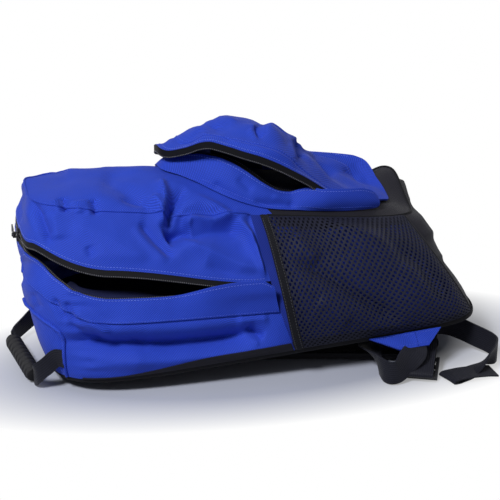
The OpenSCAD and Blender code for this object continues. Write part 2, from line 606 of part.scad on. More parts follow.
// Adjuster webbing: wing, floor fold, ladder-lock and free tail
function lock_point(u, h) = let (
    x = u * cos(lock_drop) + h * sin(lock_drop),
    z = -u * sin(lock_drop) + h * cos(lock_drop))
    lock_base + [x * cos(lock_turn), x * sin(lock_turn), lock_z + z];
lock_across = [-sin(lock_turn), cos(lock_turn), 0];
wing_mid = wing_low(0.5) - unit([0, -wing_drop, 17]) * fabric_t / 2;
wing_run = unit([0, -17, -wing_drop]);
low_web = web_t / 2 + 0.3;
upright = [0, 0, -1];
web_keys = [
    [wing_mid + wing_run * 1.9, [1, 0, 0]],
    [wing_mid + wing_run * 6 + [-2, 0, -0.5], [1, 0, -0.1]],
    [corner + [-94, -31, 20], [0.75, 0, -0.6]],
    [corner + [-104, -38, 14.5], [0.2, 0, -1]],
    [corner + [-112, -37.5, 13], upright],
    [corner + [-117, -30, 12.8], upright],
    [corner + [-119, -15, 13], [0.2, 0, -1]],
    [corner + [-119, 3, 15], [0.75, 0, -0.6]],
    [corner + [-117, 20, strap_t + 6.5], [1, 0, -0.1]],
    [corner + [-109, 37, strap_t + 7], [0.8, -0.6, 0]],
    [corner + [-90, 45, strap_t + 7], [0, -1, 0]],
    [corner + [-71, 37, strap_t + 7], [-0.6, -0.8, 0]],
    [lock_point(-26, 4.6), -lock_across],
    [lock_point(-12, 4.6), -lock_across],
    [lock_point(-2, loop_in + 3.2), -lock_across],
    [lock_point(4.6, 3.6), -lock_across],
    [lock_point(7.4, 0), -lock_across],
    [lock_point(10.4, -3), -lock_across],
    [lock_point(13, -3.3), -lock_across],
    [lock_point(15.2, -2.6), -lock_across],
    [lock_point(17.5, 0), -lock_across],
    [lock_point(19.8, 2.8), -lock_across],
    [lock_point(23, 3.5), -lock_across],
    [lock_point(30, 3.6), -lock_across],
    [lock_point(36, 4.2), -lock_across],
    [lock_point(38.4, 6.8), -lock_across],
    [lock_point(36, 9.4), -lock_across],
    [lock_point(28, 10.2), -lock_across],
    [lock_point(14, 11.2), -lock_across],
    [lock_point(0, 12.6), -lock_across],
    [lock_point(-12, 13.4), -lock_across],
    [lock_point(-26, 13.4), -lock_across],
    [corner + [-47, 36, strap_t + 15], [-0.65, 0.28, -0.7]],
    [corner + [-37, 41, strap_t + 14.4], upright],
    [corner + [-22, 35, strap_t + 13], upright],
    [corner + [-4, 17, strap_t + 8], upright],
    [corner + [7, 2, 15.4], upright],
    [corner + [10, -9, 13.6], upright],
    [corner + [5, -18, 13], [0, 0.1, -1]],
    [corner + [-6, -24, 11.6], [-0.2, 0.5, -0.85]],
    [corner + [-18, -29, 6.4], [-0.35, 0.8, -0.4]],
    [corner + [-32, -34.5, 2], [-0.35, 0.93, -0.05]],
    [corner + [-46, -39.5, low_web + 0.2], [-0.35, 0.94, 0]],
    [corner + [-53, -42, low_web + 0.6], [-0.35, 0.94, 0]],
    [corner + [-55, -42.8, 3], [-0.35, 0.94, 0]],
    [corner + [-52, -42, 5], [-0.33, 0.94, 0]],
    [corner + [-38, -39.4, 5.4], [-0.25, 0.97, 0]],
    [corner + [-18, -37, 4.4], [-0.1, 1, 0]],
    [corner + [-3, -36, 2.6], [-0.05, 1, 0]]];
module lower_webbing_near() color("#1a1b26") webbing(smooth_route(web_keys, 3), web_w - 0.6, web_t);

// Far side, mirrored
module strap_yoke_far() mirror([0, 1, 0]) strap_yoke_near();
module strap_pad_far() mirror([0, 1, 0]) strap_pad_near();
module strap_liner_far() mirror([0, 1, 0]) strap_liner_near();
module strap_tab_far() mirror([0, 1, 0]) strap_tab_near();
module ladder_lock_far() mirror([0, 1, 0]) ladder_lock_near();
module strap_wing_far() mirror([0, 1, 0]) strap_wing_near();
module lower_webbing_far() mirror([0, 1, 0]) lower_webbing_near();

// Grab handle: ribbed grip between two webbing ends sewn into the top seam
rib_r = grip_d / 2 + 1;
rib_pitch = grip_len / (grip_ribs + 1);
grip_mid = [x_top - 23, -47, rib_r];
grip_turn = atan2(-96, 16);
grip_dir = [cos(grip_turn), sin(grip_turn), 0];
module handle_grip() color("#141416") translate(grip_mid) rotate([0, 0, grip_turn]) rotate([0, 90, 0])
    rotate_extrude() polygon(concat(
        [[0, -grip_len / 2], [grip_d / 2 - 1, -grip_len / 2], [grip_d / 2, -grip_len / 2 + 1.5]],
        [for (i = [1:grip_ribs]) each let (y = -grip_len / 2 + i * rib_pitch)
            [[grip_d / 2, y - rib_pitch * 0.32], [rib_r, y - rib_pitch * 0.18],
             [rib_r, y + rib_pitch * 0.18], [grip_d / 2, y + rib_pitch * 0.32]]],
        [[grip_d / 2, grip_len / 2 - 1.5], [grip_d / 2 - 1, grip_len / 2], [0, grip_len / 2]]));
handle_web_t = 1.6;
near_root_a = 202;
far_root_a = 168;
root_s = 0.065;
function root_at(a) = wall_at(a, root_s, handle_web_t / 2 + 0.35);
function root_up(a) = unit(wall(a, root_s + 0.03) - wall(a, root_s - 0.03));
near_grip_end = grip_mid + grip_dir * (grip_len / 2 + 0.4);
far_grip_end = grip_mid - grip_dir * (grip_len / 2 + 0.4);
handle_low = handle_w / 2 + 0.4;
near_handle_keys = [
    [root_at(near_root_a), root_up(near_root_a)],
    [near_grip_end + [11, 14, handle_low - rib_r + 3], [-0.1, 0, 1]],
    [near_grip_end + [8, -2, handle_low - rib_r + 1], [0, 0, 1]],
    [near_grip_end + [5, -7, handle_low - rib_r], [0, 0, 1]],
    [near_grip_end + [1.2, -6.5, handle_low - rib_r], [0, 0, 1]],
    [near_grip_end + [0, -0.4, handle_low - rib_r], [0, 0, 1]]];
far_handle_keys = [
    [root_at(far_root_a), root_up(far_root_a)],
    [mix(root_at(far_root_a), far_grip_end, 0.35) + [-1, 3, -1], [-0.1, 0, 1]],
    [mix(root_at(far_root_a), far_grip_end, 0.75) + [-2, 2, 0], [0, 0, 1]],
    [far_grip_end + [0, 0.4, handle_low - rib_r], [0, 0, 1]]];
module handle_webbing_near() color("#1a1b26")
    webbing(smooth_route(near_handle_keys, 4), handle_w, handle_web_t);
module handle_webbing_far() color("#1a1b26")
    webbing(smooth_route(far_handle_keys, 4), handle_w, handle_web_t);

back_cover();
back_foam();
back_lining();
rear_gusset_near();
rear_gusset_top();
rear_gusset_far();
front_gusset_near();
front_gusset_top();
front_gusset_far();
side_panel_near();
side_panel_far();
base_panel();
front_panel();
storm_flap();
main_tape_lower();
main_tape_upper();
main_slider_near();
main_pull_near();
main_slider_top();
main_pull_top();
pocket_band();
pocket_tape_lower();
pocket_tape_upper();
pocket_gusset();
pocket_face();
pocket_slider();
pocket_pull();
mesh_pocket_near();
mesh_hem_near();
mesh_pocket_far();
mesh_hem_far();
strap_yoke_near();
strap_pad_near();
strap_liner_near();
strap_tab_near();
ladder_lock_near();
strap_wing_near();
lower_webbing_near();
strap_yoke_far();
strap_pad_far();
strap_liner_far();
strap_tab_far();
ladder_lock_far();
strap_wing_far();
lower_webbing_far();
handle_grip();
handle_webbing_near();
handle_webbing_far();
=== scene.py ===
# %% [markdown]
# # A blue daypack lying on its back
#
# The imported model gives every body, joint and size of this bag. This lesson dresses it: each rigid CAD
# panel becomes a thin cloth sheet with folds, and zips, mesh, webbing and stitching are modelled on top.
# Lengths are worked out in millimetres and placed in metres.

# %% Load the frame
import math

import bpy
import numpy as np
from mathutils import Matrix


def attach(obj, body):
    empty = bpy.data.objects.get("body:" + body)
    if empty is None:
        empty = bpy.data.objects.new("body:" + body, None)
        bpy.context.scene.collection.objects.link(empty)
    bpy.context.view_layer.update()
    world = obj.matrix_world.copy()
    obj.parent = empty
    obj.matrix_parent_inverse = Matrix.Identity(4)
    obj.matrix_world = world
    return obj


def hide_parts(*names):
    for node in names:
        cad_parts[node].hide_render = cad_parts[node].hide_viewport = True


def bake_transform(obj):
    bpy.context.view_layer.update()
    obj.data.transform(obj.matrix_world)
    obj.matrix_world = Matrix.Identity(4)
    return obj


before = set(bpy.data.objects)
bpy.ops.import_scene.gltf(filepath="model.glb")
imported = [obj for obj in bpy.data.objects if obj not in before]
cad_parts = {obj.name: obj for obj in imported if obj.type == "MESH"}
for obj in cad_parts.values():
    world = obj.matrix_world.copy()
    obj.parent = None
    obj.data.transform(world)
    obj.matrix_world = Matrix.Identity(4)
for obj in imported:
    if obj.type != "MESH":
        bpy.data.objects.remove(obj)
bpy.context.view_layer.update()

MM = 0.001

# %% [markdown]
# ## Camera
#
# The photograph looks at the near side from a little above with a long lens. A camera could be placed by
# eye, but here its angle, distance and aim are worked out first, because the folds further down are
# placed by where they show in the 500 by 500 picture.

# %% Place the camera
CAM_AZIMUTH, CAM_ELEVATION, CAM_DISTANCE, CAM_LENS = -13.0, 22.0, 1600.0, 108.0
CAM_AIM = np.array([18.2, 0.0, 85.3])
FRAME_PX, SENSOR = 500.0, 36.0

azimuth, elevation = math.radians(CAM_AZIMUTH), math.radians(CAM_ELEVATION)
CAM_BACK = np.array([
    math.sin(azimuth) * math.cos(elevation),
    -math.cos(azimuth) * math.cos(elevation),
    math.sin(elevation)])
CAM_RIGHT = np.array([math.cos(azimuth), math.sin(azimuth), 0.0])
CAM_UP = np.cross(CAM_BACK, CAM_RIGHT)
CAM_PLACE = CAM_AIM + CAM_BACK * CAM_DISTANCE


def seen(points):
    """Where points, in millimetres, show in the picture, in pixels from its top left corner."""
    away = points - CAM_PLACE
    depth = -(away @ CAM_BACK)
    scale = FRAME_PX * CAM_LENS / SENSOR
    across = FRAME_PX / 2 + scale * (away @ CAM_RIGHT) / depth
    down = FRAME_PX / 2 - scale * (away @ CAM_UP) / depth
    return np.stack([across, down], -1)


bpy.ops.object.camera_add(location=CAM_PLACE * MM)
camera = bpy.context.object
camera.name = "photo_camera"
camera.data.lens = CAM_LENS
camera.data.sensor_width = SENSOR
camera.rotation_euler = (math.pi / 2 - elevation, 0.0, azimuth)
camera.data.clip_end = 50.0
bpy.context.scene.camera = camera
print("camera at", [round(float(v), 1) for v in CAM_PLACE], "mm")

# %% [markdown]
# ## Shader expressions
#
# Every finish below is a small node tree. Linking nodes one by one hides the arithmetic, so one class
# wraps a socket and lets Python's own operators add the Math nodes.

# %% Wrap sockets for shader maths
NOISE_ROUGHNESS = 0.55
# Places of the colour sockets on a Mix node
MIX_SHARE, MIX_FIRST, MIX_SECOND, MIX_RESULT = 0, 6, 7, 2


def colour(red, green, blue):
    """A colour written as it looks on a screen, 0 to 255, turned into Blender's linear numbers."""
    def linear(level):
        share = level / 255
        return share / 12.92 if share <= 0.04045 else ((share + 0.055) / 1.055) ** 2.4
    return (linear(red), linear(green), linear(blue), 1.0)


class Value:
    """A number that varies over a surface, held as a node's output."""

    def __init__(self, shader, socket):
        self.shader = shader
        self.socket = socket

    def math(self, operation, first, second=None):
        inputs = {0: first} if second is None else {0: first, 1: second}
        return self.shader.out("ShaderNodeMath", {"operation": operation}, inputs)

    def __add__(self, other):
        return self.math("ADD", self, other)

    def __radd__(self, other):
        return self.math("ADD", other, self)

    def __sub__(self, other):
        return self.math("SUBTRACT", self, other)

    def __rsub__(self, other):
        return self.math("SUBTRACT", other, self)

    def __mul__(self, other):
        return self.math("MULTIPLY", self, other)

    def __rmul__(self, other):
        return self.math("MULTIPLY", other, self)

    def sine(self):
        return self.math("SINE", self)

    def clamped(self):
        return self.math("MINIMUM", self.math("MAXIMUM", self, 0.0), 1.0)


class Nodes:
    """A node tree, with a short way to add nodes and to link them."""

    def __init__(self, tree):
        self.tree = tree

    def node(self, kind, settings=None, inputs=None):
        made = self.tree.nodes.new(kind)
        for key, value in (settings or {}).items():
            setattr(made, key, value)
        for key, value in (inputs or {}).items():
            self.feed(made.inputs[key], value)
        return made

    def feed(self, socket, value):
        if isinstance(value, Value):
            self.tree.links.new(value.socket, socket)
        else:
            socket.default_value = value

    def out(self, kind, settings=None, inputs=None, output=0):
        return Value(self, self.node(kind, settings, inputs).outputs[output])


class Finish(Nodes):
    """A material with one Principled shader."""

    def __init__(self, name):
        self.material = bpy.data.materials.new(name)
        self.material.use_nodes = True
        super().__init__(self.material.node_tree)
        self.shader = self.tree.nodes["Principled BSDF"]

    def where(self, output="UV"):
        return self.out("ShaderNodeTexCoord", output=output)

    def axes(self, vector):
        split = self.node("ShaderNodeSeparateXYZ", None, {0: vector})
        return [Value(self, split.outputs[i]) for i in range(3)]

    def noise(self, vector, scale, detail):
        inputs = {"Vector": vector, "Scale": scale, "Detail": detail, "Roughness": NOISE_ROUGHNESS}
        return self.out("ShaderNodeTexNoise", None, inputs)

    def blend(self, share, first, second):
        """A colour between two screen colours."""
        inputs = {MIX_SHARE: share, MIX_FIRST: colour(*first), MIX_SECOND: colour(*second)}
        return self.out("ShaderNodeMix", {"data_type": "RGBA"}, inputs, MIX_RESULT)

    def bump(self, height, depth, strength):
        inputs = {"Height": height, "Distance": depth, "Strength": strength}
        normal = self.out("ShaderNodeBump", None, inputs)
        self.feed(self.shader.inputs["Normal"], normal)

    def set(self, **values):
        for key, value in values.items():
            self.feed(self.shader.inputs[key.replace("_", " ").title().replace("Ior", "IOR")], value)


print("shader helpers ready")

# %% [markdown]
# ## Finishes
#
# The bag is coarse woven nylon, so the weave has to show up close and melt into an even cloth a step
# away. A weave could be an image, but waves on the cloth's own lengthwise and crosswise map give the same
# threads at any size. Each map is in metres, so one pitch fits every panel.

# %% Woven cloth
TWILL_SHADE, TWILL_DEPTH = 0.26, 0.0004


def twill(name, light, dark, pitch_mm, rough, sheen, specular=0.08):
    """Woven cloth: slanted twill lines crossed by its threads, with slow changes of tone."""
    finish = Finish(name)
    place = finish.where()
    along, across, _ = finish.axes(place)
    turn = 2 * math.pi / (pitch_mm * MM)
    slant = ((along + across) * turn).sine()
    cross = ((along - across) * (turn * 0.93)).sine()
    weave = slant * 0.34 + cross * 0.2 + slant * cross * 0.16 + 0.5
    tone = finish.noise(place, 22.0, 4.0)
    fleck = finish.noise(place, 900.0, 2.0)
    share = (weave * 0.95 + tone * 0.36 + fleck * 0.2 - TWILL_SHADE).clamped()
    finish.set(base_color=finish.blend(share, dark, light))
    finish.set(roughness=tone * 0.2 + (rough - 0.1))
    finish.set(sheen_weight=sheen, sheen_roughness=0.45, specular_ior_level=specular)
    finish.bump(weave * 0.8 + fleck * 0.4, TWILL_DEPTH, 0.6)
    return finish.material


BLUE_CLOTH = twill("royal_blue_nylon", (48, 82, 216), (23, 45, 144), 2.3, 0.74, 0.04, specular=0.2)
BLUE_INSIDE = twill("coated_inside", (62, 84, 200), (44, 60, 150), 2.0, 0.6, 0.05)
# Painted shade: a darker copy of the blue nylon, used on the side panels behind the mesh pockets to stand for
# the shade there
PAINTED_SHADE_BLUE = twill("painted_shade_blue_nylon", (36, 58, 164), (18, 33, 106), 2.3, 0.74, 0.04, specular=0.15)
NAVY_NYLON = twill("black_navy_nylon", (40, 39, 48), (22, 22, 28), 1.6, 0.62, 0.06)
STRAP_CLOTH = twill("strap_nylon", (40, 42, 56), (24, 25, 36), 1.6, 0.68, 0.15)
LINING_CLOTH = twill("dark_lining", (36, 42, 86), (20, 24, 52), 1.2, 0.6, 0.05)

print("woven cloths mixed")

# %% [markdown]
# Webbing and zip tape are narrow bands: ribs run along them and a fine thread crosses the ribs. On these
# pieces the map's first axis runs along the band, so the ribs are waves on the second.

# %% Narrow woven bands


def banded(name, light, dark, rib_mm, rough, sheen, depth):
    """A narrow woven band with ribs along it and a herringbone of fine threads across."""
    finish = Finish(name)
    place = finish.where()
    along, across, _ = finish.axes(place)
    rib = (across * (2 * math.pi / (rib_mm * MM))).sine() * 0.5 + 0.5
    thread = ((along + across * 0.4) * (2 * math.pi / (rib_mm * 0.7 * MM))).sine() * 0.5 + 0.5
    tone = finish.noise(place, 60.0, 3.0)
    share = (rib * 0.5 + thread * 0.2 + tone * 0.5 - 0.15).clamped()
    finish.set(base_color=finish.blend(share, dark, light))
    finish.set(roughness=tone * 0.2 + (rough - 0.1))
    finish.set(sheen_weight=sheen, sheen_roughness=0.4, specular_ior_level=0.12)
    finish.bump(rib * 0.8 + thread * 0.35, depth, 0.6)
    return finish.material


WEBBING = banded("ribbed_webbing", (34, 35, 46), (14, 15, 22), 2.2, 0.58, 0.06, 0.0004)
ZIP_TAPE = banded("zip_tape", (22, 22, 27), (9, 9, 12), 1.4, 0.75, 0.0, 0.0002)
BINDING = banded("edge_binding", (28, 28, 33), (11, 11, 14), 1.8, 0.72, 0.05, 0.0003)

print("bands mixed")

# %% [markdown]
# The remaining finishes are plain materials with a small grain: the mesh's filament, the padded spacer
# cloth with its holes, moulded plastic, rubber, painted metal, the zip's coil and the sewing thread.

# %% Small grained finishes
HOLE_DEPTH = 0.0008


def grained(name, light, dark, scale, rough, bump_mm, sheen=0.0, specular=0.45):
    """A plain material whose tone, gloss and surface vary with two sizes of grain."""
    finish = Finish(name)
    place = finish.where("Object")
    coarse = finish.noise(place, scale * 0.12, 3.0)
    fine = finish.noise(place, scale, 4.0)
    share = (coarse * 0.7 + fine * 0.6 - 0.15).clamped()
    finish.set(base_color=finish.blend(share, dark, light))
    finish.set(roughness=fine * 0.16 + coarse * 0.1 + (rough - 0.13))
    finish.set(sheen_weight=sheen, specular_ior_level=specular)
    finish.bump(fine, bump_mm * MM, 0.5)
    return finish.material


def spacer(name, light, dark, pitch_mm, source="Object"):
    """Air mesh: a knitted face with staggered round holes pressed into it."""
    finish = Finish(name)
    place = finish.where(source)
    first, second, _ = finish.axes(place)
    turn = 2 * math.pi / (pitch_mm * MM)
    dots = (first * turn).sine() * (second * turn).sine()
    tone = finish.noise(place, 40.0, 3.0)
    fuzz = finish.noise(place, 1500.0, 2.0)
    hole = (dots * 2.6 - 0.9).clamped()
    share = (tone * 0.6 + fuzz * 0.5 - 0.1 - hole * 0.7).clamped()
    finish.set(base_color=finish.blend(share, dark, light))
    finish.set(roughness=tone * 0.15 + 0.78, sheen_weight=0.06, specular_ior_level=0.08)
    finish.bump(fuzz * 0.3 - hole, HOLE_DEPTH, 0.8)
    return finish.material


NET_YARN = grained("net_yarn", (42, 44, 62), (17, 18, 28), 2400.0, 0.6, 0.12, specular=0.12)
HEM_KNIT = spacer("doubled_net", (36, 37, 46), (8, 8, 11), 3.4, "UV")
AIR_MESH = spacer("air_mesh", (46, 44, 44), (17, 16, 17), 3.6)
BUCKLE = grained("buckle_plastic", (46, 47, 52), (26, 27, 31), 1800.0, 0.42, 0.08)
RUBBER = grained("grip_rubber", (30, 30, 34), (14, 14, 17), 1500.0, 0.62, 0.12, specular=0.2)
ZIP_METAL = grained("zip_paint", (44, 44, 49), (24, 24, 28), 1500.0, 0.36, 0.05, specular=0.3)
COIL = grained("zip_coil", (98, 98, 106), (46, 46, 53), 2600.0, 0.34, 0.05)
THREAD = grained("pale_thread", (126, 150, 238), (84, 108, 214), 3000.0, 0.6, 0.1, 0.05)
SOFT_THREAD = grained("blue_thread", (78, 106, 222), (50, 78, 190), 3000.0, 0.6, 0.1)
DARK_THREAD = grained("dark_thread", (60, 62, 74), (34, 36, 46), 3000.0, 0.6, 0.1, 0.2)
print(len(bpy.data.materials), "materials in the file")

# %% [markdown]
# ## The bag's shape
#
# The panels are sewn from flat cloth, but together they make one lofted shell: a rounded square in plan,
# wider at mid depth, lower at the base. The same formulas and sizes shaped the CAD solids, and are
# repeated here so that each cloth sheet lies where its solid is. Plan angle 0 points at the base, 90 at
# the far side, 180 at the top end and 270 at the near side.

# %% Sizes and the wall
BACK_LEN, BACK_W, X_MID = 442.0, 276.0, 13.2
X_TOP, X_BASE = X_MID - BACK_LEN / 2, X_MID + BACK_LEN / 2
DEPTH_TOP, DEPTH_BASE = 166.0, 84.0
FRONT_W, FRONT_OVER_TOP, FRONT_IN_BASE = 132.0, 10.0, 48.0
SWELL_W, SWELL_TOP, SWELL_BASE, CROWN = 304.0, 30.0, -18.0, 22.0
CLOTH_T, COVER_T, SEAM = 1.8, 6.0, 0.3
STRAP_T, YOKE_T, YOKE_IN, YOKE_CLEAR = 10.0, 1.6, 56.0, 0.9
TILT = 33.0 / BACK_LEN
LIFT_TOP = STRAP_T + YOKE_T + YOKE_CLEAR - TILT * YOKE_IN
NEAR_TOP, NEAR_MOUTH, NEAR_BASE = 229.0, 275.4, 318.6
BASE_HUMP = 22.0
TAPE_W, GAPE_W, ZIP_END = 8.0, 19.0, 274.8
# Turns a place on the near side into its mirror place on the far side
MIRROR = np.array([1.0, -1.0, 1.0])


def clamp01(v):
    return np.clip(v, 0.0, 1.0)


def ease(v):
    k = clamp01(v)
    return k * k * (3 - 2 * k)


def mix(a, b, k):
    return a + (b - a) * k


def bend(a, b, c, s):
    return (1 - s) ** 2 * a + 2 * s * (1 - s) * b + s * s * c


def cosd(a):
    return np.cos(np.radians(a))


def sind(a):
    return np.sin(np.radians(a))


def unit(v):
    return v / np.maximum(np.linalg.norm(v, axis=-1, keepdims=True), 1e-9)


def points(x, y, z):
    return np.stack(np.broadcast_arrays(x, y, z), -1).astype(float)


def back_z(x):
    return LIFT_TOP + TILT * (x - X_TOP)


def front_z(x):
    return back_z(x) + mix(DEPTH_TOP, DEPTH_BASE, (x - X_TOP) / BACK_LEN)


def sharp(a, s):
    return mix(mix(5.0, 4.0, s), mix(9.0, 5.0, s), ease((1 + cosd(a)) / 2))


def reach(a, n):
    return (np.abs(cosd(a)) ** n + np.abs(sind(a)) ** n) ** (-1 / n)


def hump(x, y):
    """How much the far corner of the base stands up."""
    return BASE_HUMP * ease((x - X_BASE + 86) / 38) * ease((y + 34) / 70)


def wall(a, s):
    """The bag's side wall: plan angle a, and s from 0 at the back panel to 1 at the front edge."""
    a, s = np.asarray(a, float), np.asarray(s, float)
    r = reach(a, sharp(a, s))
    x0 = bend(X_TOP, X_TOP - SWELL_TOP, X_TOP - FRONT_OVER_TOP, s)
    x1 = bend(X_BASE, X_BASE + SWELL_BASE, X_BASE - FRONT_IN_BASE, s)
    half = bend(BACK_W, SWELL_W, FRONT_W, s) / 2
    x = (x0 + x1) / 2 + (x1 - x0) / 2 * r * cosd(a)
    y = half * r * sind(a)
    return points(x, y, mix(back_z(x), front_z(x), s) + hump(x, y) * s * s)


def wall_out(a, s):
    """The wall's outward direction."""
    round_it = wall(a + 0.5, s) - wall(a - 0.5, s)
    up_it = wall(a, s + 0.004) - wall(a, s - 0.004)
    return unit(np.cross(round_it, up_it))


def per_mm(a):
    return 0.04 / np.linalg.norm(wall(a, 0.6) - wall(a, 0.56), axis=-1)


def seam_s(a):
    x = wall(a, 0.0)[..., 0]
    return (COVER_T + SEAM) / (front_z(x) - back_z(x))


def chain_s(a):
    return mix(0.55, 0.70, ease((57 - np.abs(a - 180)) / 24))


def gape(a):
    """How wide the main zip stands open at plan angle a, in millimetres."""
    near = GAPE_W * ease((272 - a) / 37)
    top = GAPE_W * mix(0.25, 1.0, ease((a - 205) / 30)) * ease((a - 179) / 14)
    return np.where(a > 235, near, top)


def up(a, mm):
    """Depth share that lies mm above the zip's lower chain."""
    return chain_s(a) + mm * per_mm(a)


FRONT_X0, FRONT_X1 = X_TOP - FRONT_OVER_TOP, X_BASE - FRONT_IN_BASE
FRONT_CX, FRONT_LX = (FRONT_X0 + FRONT_X1) / 2, (FRONT_X1 - FRONT_X0) / 2


def front_top(x, y):
    """Height of the crowned front panel at a plan point."""
    u, v = (x - FRONT_CX) / FRONT_LX, y / (FRONT_W / 2)
    n = sharp(np.degrees(np.arctan2(v, u)), 1.0)
    q = (np.abs(u) ** n + np.abs(v) ** n) ** (1 / n)
    return front_z(x) + CROWN * (1 - q * q) + hump(x, y)


print("near side at mid depth", wall(270.0, 0.5).round(1))

# %% [markdown]
# ## Folds
#
# Limp nylon crumples where the half-empty bag has slumped. A cloth simulation gives folds, but not these
# folds. So each crease of the photograph is drawn as a line in the picture, with a width and a depth, and
# pushes the cloth in or out where it shows. The far side, which the picture doesn't show, gets the
# mirrored lines, moved along a little. Slow waves and small puckers along the seams do the rest.

# %% Crease lines in the picture
# Each crease: points in the picture, half width in pixels, push outward in millimetres before FOLD_DEPTH
# multiplies it, and how strong a lip stands on one side of it
UPPER_CREASES = [
    ([(166, 238), (176, 232), (190, 225)], 8, -10.0, 0.3),
    ([(152, 194), (160, 208), (166, 224)], 4, 4.0, -0.5),
    ([(161, 177), (165, 198), (166, 216)], 4.2, 4.4, -0.6),
    ([(188, 179), (177, 197), (169, 214), (171, 228)], 5, -4.8, 0.3),
    ([(180, 231), (192, 218), (213, 221), (238, 214), (260, 217)], 4, 4.0, -0.7),
    ([(186, 238), (208, 230), (242, 228)], 7, -4.0, 0.4),
    ([(140, 220), (156, 240), (174, 258)], 4.5, -3.6, 0.7),
    ([(182, 240), (216, 255), (264, 274)], 8, 3.0, -0.4),
    ([(236, 217), (251, 236), (261, 262), (268, 286)], 4, 4.4, -0.7),
    ([(250, 214), (264, 236), (275, 266)], 4, -4.4, 0.5),
    ([(186, 169), (205, 181), (223, 194), (240, 209)], 6, -6.0, 0.6),
    ([(30, 200), (40, 216), (47, 232), (44, 262)], 5, -3.6, 0.6),
    ([(54, 212), (58, 240)], 8, 2.4, 0.0),
    ([(62, 197), (65, 213)], 3, -3.6, 0.5),
    ([(92, 198), (96, 215)], 3, -3.4, 0.5),
    ([(78, 200), (80, 214)], 5, 1.6, 0.0),
    ([(70, 225), (110, 240), (150, 262)], 12, 2.0, -0.3),
    ([(88, 246), (92, 258)], 4, -1.8, 0.4),
    ([(50, 246), (54, 262)], 4, -1.8, 0.4),
    ([(120, 196), (142, 200), (152, 212)], 5, -2.2, 0.6),
    ([(196, 190), (216, 206), (232, 214)], 6, 3.0, 0.0),
    ([(205, 262), (232, 274), (262, 284)], 6, -1.8, 0.5),
    ([(16, 174), (40, 168), (70, 164)], 12, -3.0, 0.0),
    ([(10, 184), (10, 240)], 18, -3.0, 0.0),
    ([(100, 176), (130, 190), (146, 204)], 9, -3.0, 0.4),
]
LOWER_CREASES = [
    ([(58, 341), (110, 345), (172, 345), (220, 340), (264, 332)], 8, -10.5, -0.3),
    ([(54, 298), (67, 322)], 3, -2.6, 0.6),
    ([(66, 302), (76, 322)], 3, -2.4, 0.6),
    ([(74, 310), (92, 322), (110, 336)], 5, 3.0, -0.4),
    ([(66, 322), (84, 336), (104, 342)], 4, -2.8, 0.5),
    ([(247, 326), (256, 333), (264, 338)], 4, -4.0, 0.6),
    ([(236, 322), (270, 318)], 5, 2.0, 0.0),
    ([(90, 364), (160, 361), (240, 354), (296, 346)], 9, 3.0, 0.0),
    ([(32, 292), (38, 310)], 5, -1.6, 0.4),
    ([(130, 338), (150, 352)], 5, -1.6, 0.4),
    ([(10, 262), (30, 265), (48, 274), (72, 287)], 10, -3.2, 0.0),
    ([(10, 280), (12, 310)], 18, 3.0, 0.0),
]
POCKET_CREASES = [
    ([(172, 131), (198, 124), (222, 128)], 4, -3.0, -0.6),
    ([(196, 116), (222, 119), (240, 122)], 4, 1.8, 0.0),
    ([(256, 124), (263, 138)], 3, -3.6, 0.6),
    ([(294, 142), (301, 157)], 3, -3.6, 0.6),
    ([(311, 149), (322, 160), (336, 176)], 4, -3.2, 0.5),
    ([(214, 183), (224, 194), (232, 203)], 4, -2.6, 0.6),
    ([(238, 178), (252, 192)], 4, -2.2, 0.6),
    ([(272, 196), (290, 206)], 5, 1.6, 0.0),
    ([(226, 138), (262, 150), (300, 166)], 5, 1.6, -0.3),
    ([(345, 168), (362, 176)], 4, -2.0, 0.4),
    ([(252, 205), (275, 204), (298, 205)], 5, -4.0, 0.3),
    ([(160, 136), (190, 120), (214, 114)], 10, 5.5, 0.0),
    ([(262, 124), (288, 135), (306, 146)], 8, 4.5, 0.0),
    ([(322, 148), (344, 152), (368, 162)], 9, -4.0, 0.0),
]
MESH_CREASES = [
    ([(296, 256), (345, 284), (402, 322)], 9, -5.0, 0.5),
    ([(322, 218), (360, 236), (404, 252)], 10, 4.0, -0.4),
    ([(378, 236), (420, 262), (450, 300)], 8, -3.6, 0.4),
    ([(290, 234), (318, 262)], 8, 3.0, 0.0),
    ([(316, 300), (350, 322)], 8, 2.6, -0.3),
]
BASE_CREASES = [
    ([(378, 178), (386, 204)], 5, -3.0, 0.5),
    ([(398, 178), (404, 205)], 5, 2.6, -0.4),
    ([(418, 204), (426, 220), (432, 240)], 10, 2.2, 0.0),
    ([(440, 256), (452, 290)], 5, -2.6, 0.5),
]
ALL_CREASES = (UPPER_CREASES, LOWER_CREASES, POCKET_CREASES, MESH_CREASES, BASE_CREASES)
print(sum(len(creases) for creases in ALL_CREASES), "creases drawn")

# %% Folds from the lines
FAR_SHIFT = np.array([26.0, 0.0, 0.0])
FOLD_DEPTH, FAR_FOLDS = 1.8, 0.4
CREASE_FADE, LIP_AT, LIP_HALF = 0.22, 1.9, 1.1


